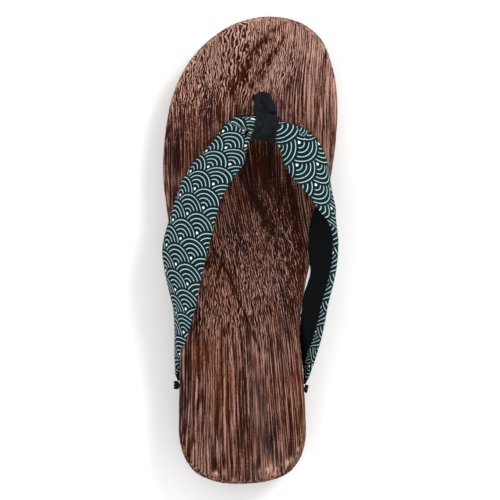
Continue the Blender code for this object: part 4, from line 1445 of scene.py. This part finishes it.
def take_place(obj, slot, *nodes):
    """Puts a finished piece on the body, in place of the nodes it stands for. The slot is not used."""
    if not obj.data.polygons:
        raise RuntimeError(obj.name + " came out empty")
    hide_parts(*nodes)
    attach(obj, "root")


def pale_floor(colour):
    """A wide plain sheet in a pale colour with faint clouds."""
    material, nodes, shader = new_material("pale floor")
    shade = nodes.spread(nodes.noise(nodes.place(), FLOOR_CLOUDS), *SOFT_SHADES)
    clouded = nodes.mixed(shade, colour, shaded(colour, FLOOR_DARKER))
    nodes.link(shader, {"Base Color": clouded, "Roughness": 0.9})
    mesh = bpy.data.meshes.new("floor")
    corners = [(x * FLOOR_REACH, y * FLOOR_REACH, 0) for x, y in ((-1, -1), (1, -1), (1, 1), (-1, 1))]
    mesh.from_pydata(corners, [], [(0, 1, 2, 3)])
    mesh.materials.append(material)
    return bpy.data.objects.new("floor", mesh)


def soft_light(name, place, size, power):
    """A round area light that faces the sandal."""
    light = bpy.data.lights.new(name, "AREA")
    light.shape = "DISK"
    light.size = size
    light.energy = power
    lamp = bpy.data.objects.new(name, light)
    lamp.location = place
    lamp.rotation_mode = "QUATERNION"
    lamp.rotation_quaternion = (-Vector(place)).to_track_quat("-Z", "Y")
    return lamp


def camera_above():
    """A long lens straight above, at the distance where the view is as wide as it should be."""
    camera = bpy.data.cameras.new("camera")
    camera.lens = LENS
    camera.sensor_width = SENSOR
    camera.dof.use_dof = False
    camera.clip_end = 20
    above = bpy.data.objects.new("camera", camera)
    above.location = (0, 0, PLANE_HEIGHT + VIEW_WIDTH * LENS / SENSOR)
    return above


class GETA_OT_set_stage(bpy.types.Operator):
    """Makes the floor, the lights and the camera straight above the sandal."""

    bl_idname = "geta.set_stage"
    bl_label = "Set Stage"

    def execute(self, context):
        scene = context.scene
        stage = scene.geta_stage
        floor = pale_floor(stage.floor_colour)
        key = soft_light("key", KEY_PLACE, KEY_SIZE, stage.key_power)
        fill = soft_light("fill", FILL_PLACE, FILL_SIZE, stage.fill_power)
        scene.camera = camera_above()
        for obj in (floor, key, fill, scene.camera):
            scene.collection.objects.link(obj)
        world = bpy.data.worlds.new("soft sky")
        world.use_nodes = True
        Nodes(world.node_tree).link(
            world.node_tree.nodes["Background"], {"Color": (1, 1, 1, 1), "Strength": stage.sky}
        )
        scene.world = world
        scene.view_settings.view_transform = "Standard"
        return {"FINISHED"}


class GETA_OT_carve_sole(bpy.types.Operator):
    """Makes the brushed wooden sole."""

    bl_idname = "geta.carve_sole"
    bl_label = "Carve Sole"

    def execute(self, context):
        take_place(make_sole(context.scene.geta_wood), "burnt_wood", "sole")
        return {"FINISHED"}


class GETA_OT_sew_straps(bpy.types.Operator):
    """Makes the two padded straps as one body."""

    bl_idname = "geta.sew_straps"
    bl_label = "Sew Straps"

    def execute(self, context):
        straps = make_straps(context.scene.geta_cloth)
        take_place(straps, "wave_cloth", "straps")
        return {"FINISHED"}


class GETA_OT_fold_toe_loop(bpy.types.Operator):
    """Makes the toe loop with its stem and the knot under the sole."""

    bl_idname = "geta.fold_toe_loop"
    bl_label = "Fold Toe Loop"

    def execute(self, context):
        take_place(make_toe_loop(context.scene.geta_cloth), "black_cloth", "toe_loop")
        return {"FINISHED"}


class GETA_OT_wind_tail_knots(bpy.types.Operator):
    """Makes the wound cord that ends each strap."""

    bl_idname = "geta.wind_tail_knots"
    bl_label = "Wind Tail Knots"

    def execute(self, context):
        cloth = context.scene.geta_cloth
        finish = {"Roughness": 0.8, "Specular IOR Level": 0.12}
        flecked = {"flecks": 2200, "detail": 2, "paler": 2, "bump": (0.0002, 0.6)}
        material = black_finish(cloth, "black twisted cord", **flecked, **finish)
        for row in TAIL_KNOTS:
            take_place(make_tail_knot(*row, material), "black_cord", "tail_knot_" + row[0])
        return {"FINISHED"}


STEPS = (
    GETA_OT_set_stage,
    GETA_OT_carve_sole,
    GETA_OT_sew_straps,
    GETA_OT_fold_toe_loop,
    GETA_OT_wind_tail_knots,
)
GROUPS = (("geta_wood", GetaWood), ("geta_cloth", GetaCloth), ("geta_stage", GetaStage))


class GETA_PT_pieces(bpy.types.Panel):
    """Lists the steps of the sandal and the sizes and colours that they use."""

    bl_idname = "GETA_PT_pieces"
    bl_label = "Geta Sandal"
    bl_space_type = "VIEW_3D"
    bl_region_type = "UI"
    bl_category = "Geta"

    def draw(self, context):
        for step in STEPS:
            self.layout.operator(step.bl_idname)
        for name, group in GROUPS:
            box = self.layout.box()
            for prop in group.__annotations__:
                box.prop(getattr(context.scene, name), prop)


def register():
    """Registers the property groups, the operators and the panel."""
    for name, group in GROUPS:
        bpy.utils.register_class(group)
        setattr(bpy.types.Scene, name, bpy.props.PointerProperty(type=group))
    for step in STEPS:
        bpy.utils.register_class(step)
    bpy.utils.register_class(GETA_PT_pieces)


def unregister():
    """Undoes register."""
    bpy.utils.unregister_class(GETA_PT_pieces)
    for step in reversed(STEPS):
        bpy.utils.unregister_class(step)
    for name, group in reversed(GROUPS):
        delattr(bpy.types.Scene, name)
        bpy.utils.unregister_class(group)


def main():
    """Registers the add-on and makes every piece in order."""
    register()
    bpy.ops.geta.set_stage()
    bpy.ops.geta.carve_sole()
    bpy.ops.geta.sew_straps()
    bpy.ops.geta.fold_toe_loop()
    bpy.ops.geta.wind_tail_knots()


if __name__ == "__main__":
    main()
